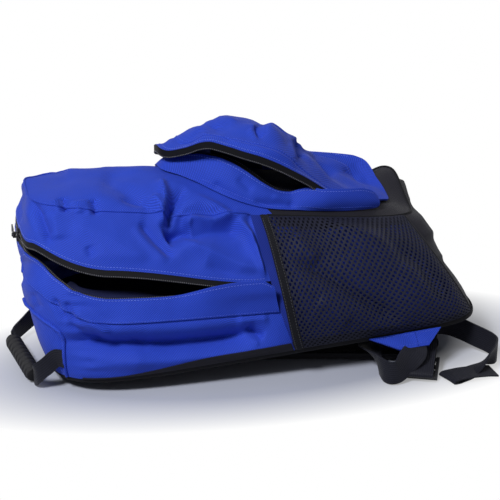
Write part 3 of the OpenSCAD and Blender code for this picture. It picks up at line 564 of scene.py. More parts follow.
def crease_push(pixels, creases):
    """Push, in millimetres, of all creases at points given by their place in the picture."""
    total = np.zeros(pixels.shape[:-1])
    for line, width, push, lip in creases:
        line = np.array(line, float)
        push = push * FOLD_DEPTH
        steps = np.linalg.norm(np.diff(line, axis=0), axis=1)
        length, start = steps.sum(), 0.0
        best = np.full(total.shape, 1e9)
        signed, along = np.zeros_like(total), np.zeros_like(total)
        for first, second, step in zip(line[:-1], line[1:], steps):
            way = (second - first) / step
            off = pixels - first
            t = np.clip(off @ way, 0.0, step)
            gap = off - t[..., None] * way
            near = np.linalg.norm(gap, axis=-1)
            side = np.sign(way[0] * gap[..., 1] - way[1] * gap[..., 0])
            closer = near < best
            best = np.where(closer, near, best)
            signed = np.where(closer, near * side, signed)
            along = np.where(closer, (start + t) / length, along)
            start += step
        fade = ease(along / CREASE_FADE + 0.15) * ease((1 - along) / CREASE_FADE + 0.15)
        main = np.exp(-np.sqrt((signed / width) ** 2 + 0.09) + 0.3)
        edge = np.exp(-((signed / width - LIP_AT * np.sign(lip or 1.0)) / LIP_HALF) ** 2)
        total += push * fade * (main * np.exp(-(signed / width / 2.6) ** 2) - abs(lip) * 0.6 * edge)
    return total


def slack(where, size, seed):
    """Slow waves of loose cloth, between about minus 1 and 1, over points in millimetres."""
    dice = np.random.default_rng(seed)
    total = np.zeros(where.shape[:-1])
    for _ in range(7):
        way = unit(dice.normal(size=3)) * 2 * math.pi / (size * dice.uniform(0.7, 1.5))
        total += np.sin(where @ way + dice.uniform(0, 6.28))
    return total / 3.2


def crumple(where, size, seed):
    """Crossing sharp-edged dents, between about minus 1 and 1, as thin cloth makes when it is squashed."""
    dice = np.random.default_rng(seed)
    total = np.zeros(where.shape[:-1])
    for _ in range(5):
        way = unit(dice.normal(size=3)) * math.pi / (size * dice.uniform(0.7, 1.5))
        bent = where @ way + 0.9 * slack(where, size * 2.2, int(dice.integers(1000)))
        total += 1 - 2 * np.abs(np.sin(bent))
    return total / 2.4


def folded(where, creases):
    """Crease push at points of the bag: as in the picture, and weaker and mirrored on the far side."""
    across = where[..., 1]
    shown = crease_push(seen(where), creases) * ease((80 - across) / 40)
    hidden = crease_push(seen(where * MIRROR + FAR_SHIFT), creases) * ease((across - 40) / 40)
    return shown + hidden * FAR_FOLDS


print("far side folds are", FAR_FOLDS, "as deep")

# %% [markdown]
# ## Making a cloth sheet
#
# Every panel starts as Blender's grid. Its corner-to-corner place is read as two shares, u and v, and a
# formula moves each point to where the sewn cloth lies. A Solidify modifier then gives the cloth its
# thickness, inward. The map for the weave is measured along the finished cloth, so threads keep their
# size on every panel.

# %% Work on one piece at a time
SMOOTH_ALL, SMOOTH_CLOTH = 80.0, 55.0


def alone():
    """Leave edit mode and deselect everything."""
    if bpy.context.object and bpy.context.object.mode != "OBJECT":
        bpy.ops.object.mode_set(mode="OBJECT")
    bpy.ops.object.select_all(action="DESELECT")


def pick(piece):
    alone()
    piece.select_set(True)
    bpy.context.view_layer.objects.active = piece


def edit(piece):
    """Go into edit mode with all of a piece selected."""
    pick(piece)
    bpy.ops.object.mode_set(mode="EDIT")
    bpy.ops.mesh.select_all(action="SELECT")


def leave_edit():
    bpy.ops.object.mode_set(mode="OBJECT")


def weld(piece, gap):
    """Merge points that lie less than gap millimetres apart."""
    edit(piece)
    bpy.ops.mesh.remove_doubles(threshold=gap * MM)
    leave_edit()


def face_outward(piece):
    edit(piece)
    bpy.ops.mesh.normals_make_consistent(inside=False)
    leave_edit()


def turn_over(piece):
    """Turn every face of a mirrored piece round."""
    edit(piece)
    bpy.ops.mesh.flip_normals()
    leave_edit()


def modify(piece, kind, **settings):
    """Add a modifier, set it and apply it."""
    pick(piece)
    bpy.ops.object.modifier_add(type=kind)
    made = piece.modifiers[-1]
    for key, value in settings.items():
        setattr(made, key, value)
    bpy.ops.object.modifier_apply(modifier=made.name)


def smooth(piece, degrees):
    pick(piece)
    bpy.ops.object.shade_smooth_by_angle(angle=math.radians(degrees))


def rounded_off(piece, finish):
    """One level of subdivision, and the finish, for a piece with no sharp edges."""
    modify(piece, "SUBSURF", levels=1, render_levels=1)
    piece.data.materials.append(finish)
    smooth(piece, SMOOTH_ALL)


print("editing helpers ready")

# %% Points and maps of a piece


def read_points(piece):
    found = np.zeros(len(piece.data.vertices) * 3)
    piece.data.vertices.foreach_get("co", found)
    return found.reshape(-1, 3)


def write_points(piece, where):
    piece.data.vertices.foreach_set("co", where.astype(np.float32).ravel())
    piece.data.update()


def write_map(piece, vertex_map):
    """Give every face corner the map place of its vertex, in metres."""
    corners = np.zeros(len(piece.data.loops), int)
    piece.data.loops.foreach_get("vertex_index", corners)
    layer = piece.data.uv_layers.active or piece.data.uv_layers.new(name="UVMap")
    layer.data.foreach_set("uv", vertex_map[corners].astype(np.float32).ravel())


def start_grid(name, cells_u, cells_v):
    alone()
    bpy.ops.mesh.primitive_grid_add(x_subdivisions=cells_u, y_subdivisions=cells_v, size=1.0)
    piece = bpy.context.object
    piece.name = name
    flat = read_points(piece)
    return piece, flat[:, 0] + 0.5, flat[:, 1] + 0.5


def arc_map(u, v, where):
    """Map of a grid measured along its middle row and up each of its columns."""
    order = np.lexsort((np.round(u, 6), np.round(v, 6)))
    columns = len(np.unique(np.round(u, 6)))
    grid = where[order].reshape(-1, columns, 3)
    middle = grid[len(grid) // 2]
    run = np.concatenate([[0.0], np.cumsum(np.linalg.norm(np.diff(middle, axis=0), axis=1))])
    rise = np.linalg.norm(np.diff(grid, axis=0), axis=2)
    rise = np.concatenate([np.zeros((1, columns)), np.cumsum(rise, axis=0)])
    found = np.zeros((len(u), 2))
    found[order, 0] = np.tile(run, len(grid))
    found[order, 1] = rise.ravel()
    return found


print("map helpers ready")

# %% One sheet of cloth
WELD_GAP = 0.02


def dress(piece, body, slot, nodes=()):
    """Attach a finished piece to the body it moves with, and hide the CAD nodes that it stands for; slot is
    not used.
    """
    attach(piece, body)
    if nodes:
        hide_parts(*nodes)
    return piece


def cloth(name, cells, place, finishes, slot, nodes, thick=CLOTH_T, plan=False, body="pack", offset=-1.0,
          fold_seams=False, inside=None):
    """One panel: a grid moved to place(u, v), in millimetres, and thickened."""
    piece, u, v = start_grid(name, *cells)
    where = place(u, v)
    write_points(piece, where * MM)
    write_map(piece, (where[:, :2] if plan else arc_map(u, v, where)) * MM)
    for finish in finishes:
        piece.data.materials.append(finish)
    if fold_seams:
        weld(piece, WELD_GAP)
    if thick:
        modify(piece, "SOLIDIFY", thickness=thick * MM, offset=offset, use_even_offset=False,
               material_offset=len(finishes) - 1 if inside is None else inside)
    smooth(piece, SMOOTH_CLOTH)
    return dress(piece, body, slot, nodes)


BLUE = (BLUE_CLOTH, BLUE_INSIDE)
BLACK = (NAVY_NYLON, LINING_CLOTH)
print("cloth helpers ready")

# %% [markdown]
# ## Bag walls
#
# The walls above and below the main zip are six panels, three each. Neighbours use one formula, so their
# edges meet, and folds run on from panel to panel as they do in cloth that is sewn together.

# %% Skins above the zip
POCKET_LEN, POCKET_W, POCKET_SKEW = 240.0, 122.0, 0.17
POCKET_X1 = FRONT_X1 - 22.0
POCKET_CX = POCKET_X1 - POCKET_LEN / 2
# Depth shares whose outward direction loose cloth is pushed along, above and below the zip
UPPER_SHARE, LOWER_SHARE = 0.84, 0.35


def pocket_share(x, y):
    """Below 1 under the front pocket, above 1 outside it."""
    u = (x - POCKET_CX) / (POCKET_LEN / 2)
    v = (y + POCKET_SKEW * (x - POCKET_CX) * clamp01(-u)) / (POCKET_W / 2)
    return (np.abs(u) ** 2.8 + np.abs(v) ** 2.8) ** (1 / 2.8)


def upper_push(base):
    """Push of the cloth above the zip, shared by the side walls and the front panel."""
    clear = ease((pocket_share(base[..., 0], base[..., 1]) - 1.0) / 0.25)
    loose = slack(base, 95.0, 11) * 1.8 + slack(base, 38.0, 12) * 0.5
    squashed = crumple(base, 46.0, 13) * mix(0.35, 1.5, ease((base[..., 0] + 150) / 140))
    return (folded(base, UPPER_CREASES) + loose + squashed) * clear


def zip_rim(a):
    """1 along the zip, fading to 0 at the two ends where the side panels begin."""
    return ease((NEAR_MOUTH - a) / 1.6) * ease((a - (360 - NEAR_MOUTH)) / 1.6)


def upper_skin(a, s, out=0.0):
    base = wall(a, s)
    foot = up(a, TAPE_W + gape(a))
    held = ease((s - foot) / per_mm(a) / 14.0)
    push = upper_push(base) * held * zip_rim(a)
    way = wall_out(a, np.full_like(a, UPPER_SHARE))
    return base + wall_out(a, s) * np.asarray(out)[..., None] + way * push[..., None]


def front_skin(a, q, out=0.0):
    edge = wall(a, np.ones_like(a))
    x, y = FRONT_CX + q * (edge[..., 0] - FRONT_CX), q * edge[..., 1]
    base = points(x, y, front_z(x) + CROWN * (1 - q * q) + hump(x, y))
    sideways = wall_out(a, np.full_like(a, UPPER_SHARE))
    way = unit(mix(np.array([0.0, 0.0, 1.0]), sideways, (q ** 3)[..., None]))
    push = upper_push(base) * mix(1.0, zip_rim(a), q ** 6)
    return base + way * (push + out)[..., None]


print("zip gapes", float(gape(235.0)), "mm at its widest")

# %% Skin below the zip
# Plan angles past which a slider runs over the cloth, so that it lies flat there
SLIDER_NEAR_A, SLIDER_TOP_A = 246.0, 194.0


def lower_skin(a, s, out=0.0):
    base = wall(a, s)
    held = ease((s - seam_s(a)) / per_mm(a) / 12.0 + 0.1)
    seam_run = np.abs(a - NEAR_TOP) * 3.4
    pucker = np.sin(s / per_mm(a) * 0.62 + 1.2 * np.sin(s * 21)) * np.exp(-seam_run / 9.0) * 1.0
    loose = slack(base, 100.0, 21) * 1.3 + slack(base, 40.0, 22) * 0.4 + crumple(base, 52.0, 23) * 0.7
    slides = np.maximum(ease((a - SLIDER_NEAR_A) / 12), ease((SLIDER_TOP_A - a) / 12))
    held = held * (1 - slides * ease((s - up(a, -14.0)) / per_mm(a) / 10.0))
    push = (folded(base, LOWER_CREASES) + loose + pucker) * held
    way = wall_out(a, np.full_like(a, LOWER_SHARE))
    return base + wall_out(a, s) * np.asarray(out)[..., None] + way * push[..., None]


print("slider runs past plan angles", SLIDER_TOP_A, "and", SLIDER_NEAR_A)

# %% Sew the walls above and below the zip
GRID_MM, REAR_H, FRONT_H = 2.2, 90, 110
# Each wall: its name, its two plan angles and its rough length
WALLS = [
    ("near", NEAR_TOP, NEAR_MOUTH, 250),
    ("top", 360 - NEAR_TOP, NEAR_TOP, 320),
    ("far", 360 - NEAR_MOUTH, 360 - NEAR_TOP, 250),
]


def cells_for(length, height):
    return round(length / GRID_MM), round(height / GRID_MM)


for side, a0, a1, length in WALLS:
    def rear(u, v, a0=a0, a1=a1):
        a = mix(a0, a1, u)
        return lower_skin(a, mix(seam_s(a) - 2.0 * per_mm(a), up(a, -TAPE_W + 0.6), v))

    def front(u, v, a0=a0, a1=a1):
        a = mix(a0, a1, u)
        return upper_skin(a, mix(up(a, TAPE_W - 0.6 + gape(a)), 1.0, v))

    for name, height, place in (("rear", REAR_H, rear), ("front", FRONT_H, front)):
        node = f"{name}_gusset_{side}"
        cloth(f"{node}_cloth", cells_for(length, height), place, BLUE, "blue_cloth", [node])
print("walls sewn on both sides of the zip")

# %% Sew the front panel
NET_FROM, NET_FROM_A, UNDER_POCKET = 27.0, 282.0, 0.8


def front_place(u, v):
    return front_skin(u * 360.0, 1.0 - v * 0.9999)


front_cloth = cloth("front_panel_cloth", (420, 60), front_place, BLUE + BLACK, "blue_cloth", ["front_panel"],
                    plan=True, fold_seams=True, inside=1)
# Black cloth lies toward the base, between the mesh pockets, and under the front pocket
for face in front_cloth.data.polygons:
    x, y, _ = np.array(face.center) / MM
    turn = math.degrees(math.atan2(y / FRONT_W * 2, (x - FRONT_CX) / FRONT_LX)) % 360
    is_black = abs(turn - 180) > NET_FROM_A - 180 or pocket_share(x, y) < UNDER_POCKET
    face.material_index += len(BLUE) if is_black else 0
print("front panel sewn")

# %% [markdown]
# ## Sides and base
#
# Past the ends of the zip, the sides are plain panels behind the mesh pockets. The base is a separate
# black cloth that wraps the lower end, and it is the piece that gets scuffed, so it is heavier and keeps
# softer folds.

# %% Side panels and base
# Depth shares of a side panel above and below which its cloth is black
BLACK_ABOVE, BLACK_BELOW = 0.93, 0.12


def side_skin(a, s):
    base = wall(a, s)
    hold = ease((s - seam_s(a)) / 0.08) * ease((1.0 - s) / 0.06)
    from_top = np.abs(a - 180)
    edge = ease((from_top - (NEAR_MOUTH - 180)) / 2.0) * ease((NEAR_BASE - 180 - from_top) / 2.0)
    push = slack(base, 70.0, 31) * 1.2 * hold * edge
    return base + wall_out(a, s) * push[..., None]


def base_skin(a, s):
    base = wall(a, s)
    hold = ease((s - seam_s(a)) / 0.1) * ease((1.0 - s) / 0.1)
    turned = np.where(a > 180, a - 360, a)
    edge = ease((360 - NEAR_BASE - np.abs(turned)) / 2.0)
    loose = slack(base, 80.0, 41) * 1.8 + slack(base, 30.0, 42) * 0.5
    push = (folded(base, BASE_CREASES) + loose) * hold * edge
    return base + wall_out(a, s) * push[..., None]


for side, a0, a1 in (("near", NEAR_MOUTH, NEAR_BASE), ("far", 360 - NEAR_BASE, 360 - NEAR_MOUTH)):
    def flank(u, v, a0=a0, a1=a1):
        a = mix(a0, a1, u)
        return side_skin(a, mix(seam_s(a) - 2.0 * per_mm(a), 1.0, v))

    # The side panels take the darker blue copy: painted shade for the hollow behind the mesh
    panel = cloth(f"side_panel_{side}_cloth", (76, 60), flank, (PAINTED_SHADE_BLUE, BLUE_INSIDE) + BLACK, "blue_cloth",
                  [f"side_panel_{side}"], inside=1)
    for face in panel.data.polygons:
        x, y, z = np.array(face.center) / MM
        share = (z - back_z(x)) / (front_z(x) - back_z(x))
        is_black = share > BLACK_ABOVE and x > NET_FROM + 3 or share < BLACK_BELOW
        face.material_index += len(BLUE) if is_black else 0


def base_place(u, v):
    a = mix(NEAR_BASE - 360, 360 - NEAR_BASE, u)
    return base_skin(a, mix(seam_s(a) - 2.0 * per_mm(a), 1.0, v))


cloth("base_panel_cloth", (170, 50), base_place, BLACK, "black_cloth", ["base_panel"])
print("sides and base sewn")

# %% [markdown]
# ## Storm flap
#
# A strip of cloth below the zip folds up over it. On this bag the zip gapes, so the flap is what shows as
# the lower lip of the opening. It is a sheet that follows the wall below it and stands off where the
# slider runs under it.

# %% Storm flap
FLAP_W, FLAP_START, FLAP_OVER, FLAP_LIFT = 25.0, 190.0, 7.0, 12.0
# Plan angles between which a fold of the lining shows, and the lining's thickness
FOLD_A0, FOLD_A1, LOOSE_LINING_T = 223.0, 254.0, 0.6


def flap_off(a, k):
    lift = ease((a - 250) / 9) * (1 - 0.12 * ease((a - 272) / 3))
    return 0.4 + k * mix(1.0, FLAP_LIFT, lift)


def flap_skin(a, k, out=0.0):
    """The flap's outer face: k runs from its sewn edge, 0, to its free edge, 1."""
    grown = ease((a - FLAP_START + 1.0) / 16.0)
    over = FLAP_OVER * ease((a - 246) / 22) * ease((NEAR_MOUTH + 1.0 - a) / 5)
    high = (FLAP_W * mix(0.12, 1.0, grown) + over) * k - FLAP_W - 2
    return lower_skin(a, up(a, high), flap_off(a, k) + CLOTH_T + out + 0.45 * over * k)


def flap_place(u, v):
    return flap_skin(mix(FLAP_START, NEAR_MOUTH - 0.4, u), v)


cloth("storm_flap_cloth", (216, 12), flap_place, BLUE, "blue_cloth", ["storm_flap"])


def main_lining_place(u, v):
    """A loose fold of the lining, behind the lower lip of the open zip."""
    a = mix(FOLD_A0, FOLD_A1, u)
    rise = mix(-14.0, 16.0 * np.sin(np.pi * u) ** 0.8 - 5.0, v)
    inward = mix(12.0, 32.0, v) + 2.0 * np.sin(u * 9.0) * v
    return lower_skin(a, up(a, rise), -inward)


cloth("main_lining_cloth", (90, 12), main_lining_place, (LINING_CLOTH,), "black_cloth", [], LOOSE_LINING_T)
print("storm flap and lining sewn")

# %% [markdown]
# ## Front pocket
#
# The pocket is a low band sewn to the front panel, a zip, and a face on its own narrow wall that has been
# lifted up and away. It is made of three sheets, like the real one, so that the open mouth shows a real
# hollow.

# %% Pocket outline and lift
LIP_H, LIP_LOW, FACE_RISE, PART_H = 46.0, 5.0, 14.0, 1.9
CHAIN_H = TAPE_W * 2


def pocket_n(a):
    near = mix(2.6, mix(1.9, 3.5, ease((1 + cosd(a)) / 2)), ease(-sind(a) * 2))
    return np.where(sind(a) > 0, mix(2.6, 4.0, ease(sind(a) * 2)), near)


def ring(a, q):
    """Plan place on the pocket's outline, q 1 at its edge and 0 in its middle."""
    a = np.asarray(a, float)
    r = reach(a, pocket_n(a)) * q
    u = POCKET_LEN / 2 * r * cosd(a)
    v = POCKET_W / 2 * r * sind(a) * mix(1.0, 0.94, clamp01(sind(a)))
    return POCKET_CX + u, v - POCKET_SKEW * u * clamp01(-cosd(a) * 1.4)


def far_open(a):
    return ease((np.abs(a - 74) - 34) / 34)


def lift_h(x):
    rise = ease((POCKET_X1 - 26 - x) / (POCKET_LEN * 0.55))
    tip = mix(0.45, 1.0, ease((x - (POCKET_X1 - POCKET_LEN) - 2) / (POCKET_LEN * 0.19)))
    return LIP_LOW + (LIP_H - LIP_LOW) * rise * tip


def lip_up(a):
    x, _ = ring(a, 1.0)
    shut = CHAIN_H + TAPE_W + CLOTH_T + PART_H * ease((a - 103) / 5)
    fade = ease((np.minimum(a, 360 - a) - 16) / 30)
    return mix(3.0, mix(shut, lift_h(x), far_open(a)), fade)


def tuck(a):
    """1 where the low band stands in front of the lifted face, past the end of the zip, and 0 elsewhere."""
    return ease((a - 272) / 18) * ease((334 - a) / 12)


print("lip stands", round(float(lift_h(POCKET_CX)), 1), "mm up at the pocket's middle")

# %% Lifted face and its wall
# Share of the pocket's outline where the face is sewn to its wall
GUSSET_Q = 0.84


def shell(a, q):
    x, y = ring(a, q * (1 - 0.05 * tuck(a) * q ** 4))
    middle = lift_h(x) + FACE_RISE * lift_h(x) / LIP_H
    pulled = 1 + 0.2 * ease((a - 212) / 34) * ease((306 - a) / 30)
    return points(x, y, front_top(x, y) + mix(middle, lip_up(a) * pulled, q * q) + 0.9)


def shell_out(a, q):
    round_it = shell(a + 0.5, q) - shell(a - 0.5, q)
    inward = shell(a, q - 0.01) - shell(a, q + 0.01)
    return unit(np.cross(round_it, inward))


def pocket_skin(a, q, out=0.0):
    """Lifted part of the pocket: its wall from q 1 to the face's seam, and its face inside that."""
    base = shell(a, q)
    held = ease((1.0 - q) / 0.09) * ease(q / 0.12)
    loose = slack(base, 60.0, 51) * 1.2 + slack(base, 26.0, 52) * 0.4 + crumple(base, 44.0, 53) * 1.1
    push = (crease_push(seen(base), POCKET_CREASES) * ease((70 - base[..., 1]) / 60) + loose) * held
    seam = -1.1 * np.exp(-((q - GUSSET_Q) / 0.022) ** 2)
    return base + shell_out(a, np.maximum(q, 0.03)) * (push + seam + out)[..., None]


print("face is sewn at", GUSSET_Q, "of the outline")

# %% Low band
# The band's ends, its lip's share of the outline where the zip gapes, and its heights
BAND_A0, BAND_A1, BAND_LIP_Q = 44.0, 315.0, 0.78
BAND_LOW, BAND_HIGH, BAND_RAISE, BAND_END_H = 8.0, 27.0, 5.0, 24.0


def band_foot(a):
    x, y = ring(a, 1.0)
    return points(x, y, front_top(x, y) + 1.3)


def band_lip(a):
    x, y = ring(a, mix(1.0, BAND_LIP_Q, far_open(a)))
    inner_x, _ = ring(a, BAND_LIP_Q)
    nearly_shut = ease((a - 168) / 18) * ease((232 - a) / 26)
    height = mix(BAND_LOW, BAND_HIGH, ease((POCKET_CX - inner_x) / 55))
    risen = np.minimum(height, 0.6 * lip_up(a)) + BAND_RAISE * nearly_shut
    return points(x, y, front_top(x, y) + mix(CHAIN_H - TAPE_W, risen, far_open(a)) + 0.9)


def band_edge(a):
    """The band's free edge: it follows the zip, stands up past the zip's end, and rounds off."""
    rounded = np.sqrt(1 - clamp01((a - BAND_A1 + 12) / 14) ** 2)
    upright = band_foot(a) + points(0.0, 0.0, np.maximum(lip_up(a) + 2.0, BAND_END_H * rounded))
    return mix(band_lip(a), upright, tuck(a)[..., None])


def band_out(a):
    run = unit(band_edge(a) - band_foot(a))
    return unit(np.cross(band_foot(a + 1) - band_foot(a - 1), run))


def band_skin(a, k, out=0.0):
    """The low wall: k runs from its seam on the front panel, 0, to its free lip, 1."""
    base = mix(band_foot(a), band_edge(a), k[..., None])
    belly = 3.2 * np.sin(np.pi * k) * far_open(a)
    push = crease_push(seen(base), POCKET_CREASES) * 0.7 + slack(base, 34.0, 61) * 0.7
    held = ease(k / 0.2) * ease((1 - k) / 0.12 + 0.3)
    return base + band_out(a) * (belly + push * held + CLOTH_T / 2 + out)[..., None]


print("band runs from plan angle", BAND_A0, "to", BAND_A1)

# %% Sew the pocket
# Plan angles of the lining's two ends, and the share of the outline that it hangs from
LINING_A0, LINING_A1, LINING_Q = 92.0, 214.0, 0.72


def band_place(u, v):
    return band_skin(mix(BAND_A0, BAND_A1, u), v)


def pocket_wall_place(u, v):
    return pocket_skin(u * 360.0, mix(1.0, GUSSET_Q, v))


def pocket_face_place(u, v):
    return pocket_skin(u * 360.0, mix(GUSSET_Q, 0.0005, v))


cloth("pocket_band_cloth", (240, 16), band_place, BLUE, "blue_cloth", ["pocket_band"])
cloth("pocket_gusset_cloth", (280, 10), pocket_wall_place, BLUE, "blue_cloth", ["pocket_gusset"],
      fold_seams=True)
cloth("pocket_face_cloth", (280, 30), pocket_face_place, BLUE, "blue_cloth", ["pocket_face"], plan=True,
      fold_seams=True)


def pocket_lining_place(u, v):
    """The lining hangs from the lifted face down to the front panel, behind the open end of the mouth."""
    a = mix(LINING_A0, LINING_A1, u)
    x, y = ring(a, LINING_Q)
    top = shell(a, np.full_like(a, LINING_Q)) - [0, 0, 2.6]
    foot = points(x, y, front_top(x, y) + 1.2)
    sag = 2.0 * np.sin(np.pi * v) * np.sin(u * 31.0)
    return mix(foot, top, v[:, None]) + points(0.0, sag, 0.0)


cloth("pocket_lining_cloth", (90, 12), pocket_lining_place, (LINING_CLOTH,), "black_cloth", [],
      LOOSE_LINING_T)
print("front pocket sewn")

# %% [markdown]
# ## Zips
#
# A zip is two woven tapes, each with a spiral coil sewn along its edge. The tapes are ribbons along the
# mouth. The coil is one small rounded turn, repeated along the edge with an Array modifier and laid on it
# with a Curve modifier.

# %% Things repeated along a line


def guide_line(name, route):
    """A curve through route, in millimetres, to lay repeated things along."""
    data = bpy.data.curves.new(name, "CURVE")
    data.dimensions = "3D"
    spline = data.splines.new("POLY")
    spline.points.add(len(route) - 1)
    flat = np.concatenate([route * MM, np.ones((len(route), 1))], axis=1)
    spline.points.foreach_set("co", flat.ravel())
    guide = bpy.data.objects.new(name, data)
    bpy.context.scene.collection.objects.link(guide)
    return guide


def route_length(route):
    return float(np.linalg.norm(np.diff(route, axis=0), axis=1).sum())


def repeated(name, route, pitch, size, finish, slot, segments, rings):
    """Small rounded things, size long, wide and high in millimetres, one every pitch along route."""
    alone()
    bpy.ops.mesh.primitive_uv_sphere_add(segments=segments, ring_count=rings, radius=0.5)
    piece = bpy.context.object
    piece.name = name
    edit(piece)
    bpy.ops.transform.rotate(value=math.pi / 2, orient_axis="Y", center_override=(0.0, 0.0, 0.0))
    bpy.ops.transform.resize(value=tuple(np.array(size) * MM), center_override=(0.0, 0.0, 0.0))
    bpy.ops.transform.translate(value=(pitch * MM / 2, 0.0, 0.0))
    leave_edit()
    guide = guide_line(name + "_guide", route)
    modify(piece, "ARRAY", fit_type="FIXED_COUNT", count=max(1, int(route_length(route) / pitch)),
           use_relative_offset=False, use_constant_offset=True,
           constant_offset_displace=(pitch * MM, 0.0, 0.0))
    modify(piece, "CURVE", object=guide, deform_axis="POS_X")
    bpy.data.objects.remove(guide)
    piece.data.materials.append(finish)
    smooth(piece, SMOOTH_ALL)
    return dress(piece, "pack", slot)


STITCH, STITCH_SIZE = 3.1, (2.2, 0.62, 0.5)


def stitched(name, route, finish):
    """A line of sewing thread along route."""
    return repeated(name, route, STITCH, STITCH_SIZE, finish, "blue_cloth", segments=6, rings=4)


def path(place, start, end, count):
    """Points of a skin between two values of its first parameter."""
    return place(np.linspace(start, end, count))


print("line helpers ready")

# %% One zip
TAPE_T, COIL_PITCH, COIL_SIZE, COIL_IN = 1.2, 2.1, (1.5, 2.1, 1.8), 1.4


def lay_zip(zip_name, halves, start, end, cells, steps):
    """Two tapes and their coils; halves give a chain formula, the tape's two edges and the coil's place."""
    for half, chain, edges, _ in halves:
        def tape_place(u, v, chain=chain, edges=edges):
            return chain(mix(start, end, u), mix(*edges, v), TAPE_T / 2)

        node = f"{zip_name}_tape_{half}"
        cloth(f"{node}_band", (cells, 5), tape_place, (ZIP_TAPE,), "zip_tape", [node], TAPE_T)
    for half, chain, _, coil_at in halves:
        route = path(lambda a: chain(a, np.full_like(a, coil_at)), start, end, steps)
        repeated(f"{zip_name}_coil_{half}", route, COIL_PITCH, COIL_SIZE, COIL, "zip_tape",
                 segments=8, rings=5)
    print(zip_name, "zip is", round(route_length(route)), "mm long")


print("coils turn every", COIL_PITCH, "mm")

# %% Main zip
CHAIN_OFF = -0.9


def lower_chain(a, mm, out=0.0):
    return lower_skin(a, up(a, mm), CHAIN_OFF + out)


def upper_chain(a, mm, out=0.0):
    return upper_skin(a, up(a, mm + gape(a)), CHAIN_OFF + out)


MAIN_HALVES = (
    ("lower", lower_chain, (-TAPE_W - 1.0, -0.6), -COIL_IN),
    ("upper", upper_chain, (0.6, TAPE_W + 1.0), COIL_IN),
)
lay_zip("main", MAIN_HALVES, 360 - ZIP_END, ZIP_END, 420, 400)

# %% Pocket zip
POCKET_ZIP_A0, POCKET_ZIP_A1 = 46.0, 292.0


def pocket_upper_chain(a, mm, out=0.0):
    """The upper tape hangs from the lifted wall; mm is measured down from its seam."""
    x0, y0 = ring(a - 1, 1.0)
    x1, y1 = ring(a + 1, 1.0)
    away = unit(points(y1 - y0, x0 - x1, 0.0))
    down = points(0.0, 0.0, mm + CLOTH_T - 0.6)
    return pocket_skin(a, np.ones_like(a)) - down + away * out


def pocket_lower_chain(a, mm, out=0.0):
    """The lower tape turns in behind the band's lip where the zip gapes."""
    lip = band_lip(a)
    rise = lip - band_foot(a)
    inward = unit(rise * [1, 1, 0] + [0, 0, 0.001]) * 0.98 - [0, 0, 0.1]
    run = unit(mix(unit(rise), inward, far_open(a)[..., None]))
    away = unit(np.cross(band_lip(a + 1) - band_lip(a - 1), run))
    return lip + run * mm[..., None] + away * out


POCKET_HALVES = (
    ("upper", pocket_upper_chain, (TAPE_W - 0.6, -0.6), TAPE_W - COIL_IN),
    ("lower", pocket_lower_chain, (-0.4, TAPE_W - 0.6), TAPE_W - COIL_IN),
)
lay_zip("pocket", POCKET_HALVES, POCKET_ZIP_A0, POCKET_ZIP_A1, 260, 300)

# %% [markdown]
# Sliders, pulls and buckles are rigid, and the CAD shapes are right. What they lack is the small rounding
# of a moulded or cast edge, so each is copied, merged and bevelled.

# %% Rounded copies of the rigid parts
METAL_EDGE, PLASTIC_EDGE, SHARP_EDGE = 0.25, 0.6, 40.0


def rounded(node, finish, slot, radius):
    """A copy of a CAD node with rounded edges, standing for it on the body of the same name."""
    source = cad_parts[node]
    piece = source.copy()
    piece.data = source.data.copy()
    piece.parent = None
    for key in list(piece.keys()):
        del piece[key]
    piece.name = node + "_rounded"
    bpy.context.scene.collection.objects.link(piece)
    weld(piece, WELD_GAP / 2)
    modify(piece, "BEVEL", width=radius * MM, segments=2, limit_method="ANGLE",
           angle_limit=math.radians(SHARP_EDGE), use_clamp_overlap=True)
    piece.data.materials.clear()
    piece.data.materials.append(finish)
    smooth(piece, SHARP_EDGE)
    return dress(piece, node, slot, [node])


SIDES = ("near", "far")
for part in ("main_slider_near", "main_pull_near", "main_slider_top", "main_pull_top", "pocket_slider",
             "pocket_pull"):
    rounded(part, ZIP_METAL, "zip_metal", METAL_EDGE)
for side in SIDES:
    rounded(f"ladder_lock_{side}", BUCKLE, "buckle_plastic", PLASTIC_EDGE)
print("rigid parts rounded")

# %% [markdown]
# ## Mesh pockets
#
# The side pockets are an open knit of round holes. A picture of holes would be quicker, but a real net
# shows the cloth behind it from every side. A grid is poked, its old edges are dissolved to leave
# diamonds, each diamond is inset and its middle deleted. One level of subdivision rounds the holes.

# %% Net
MESH_A0, MESH_A1 = NEAR_MOUTH + 2.4, NEAR_BASE - 0.8
MESH_BULGE, HEM_DEG = 15.0, 9.0 / (BACK_LEN / 2 * math.pi / 180)
NET_PITCH, STRAND, NET_T = 5.4, 0.6, 0.8
NET_LEN, NET_H, NET_OFF = 168.0, 116.0, 0.8
HEM_T, HEM_OFF, HEM_ROLL = 2.0, 1.4, 1.4


def mesh_skin(a, v, out):
    """The pocket's sheet: a is the plan angle and v runs from the back panel to the front."""
    u = clamp01((np.maximum(a, 360 - a) - MESH_A0) / (MESH_A1 - MESH_A0))
    stand = 0.5 + MESH_BULGE * np.maximum(np.sin(np.pi * v), 0.0) ** 0.8 * (1 - u ** 3)
    s = mix(seam_s(a) + 0.002, 0.994, v)
    base = wall(a, s) + wall_out(a, s) * stand[..., None]
    hold = ease(v / 0.14) * ease((1 - v) / 0.12) * ease((1 - u) / 0.12)
    push = (folded(base, MESH_CREASES) + slack(base, 50.0, 71) * 1.2) * hold
    push = np.maximum(push, -stand * 0.85)
    return base + wall_out(a, s) * (push + out)[..., None]


def mouth_slant(v):
    """How far, in degrees, the loose mouth of the pocket has slid toward the base."""
    return 2.4 * v * v


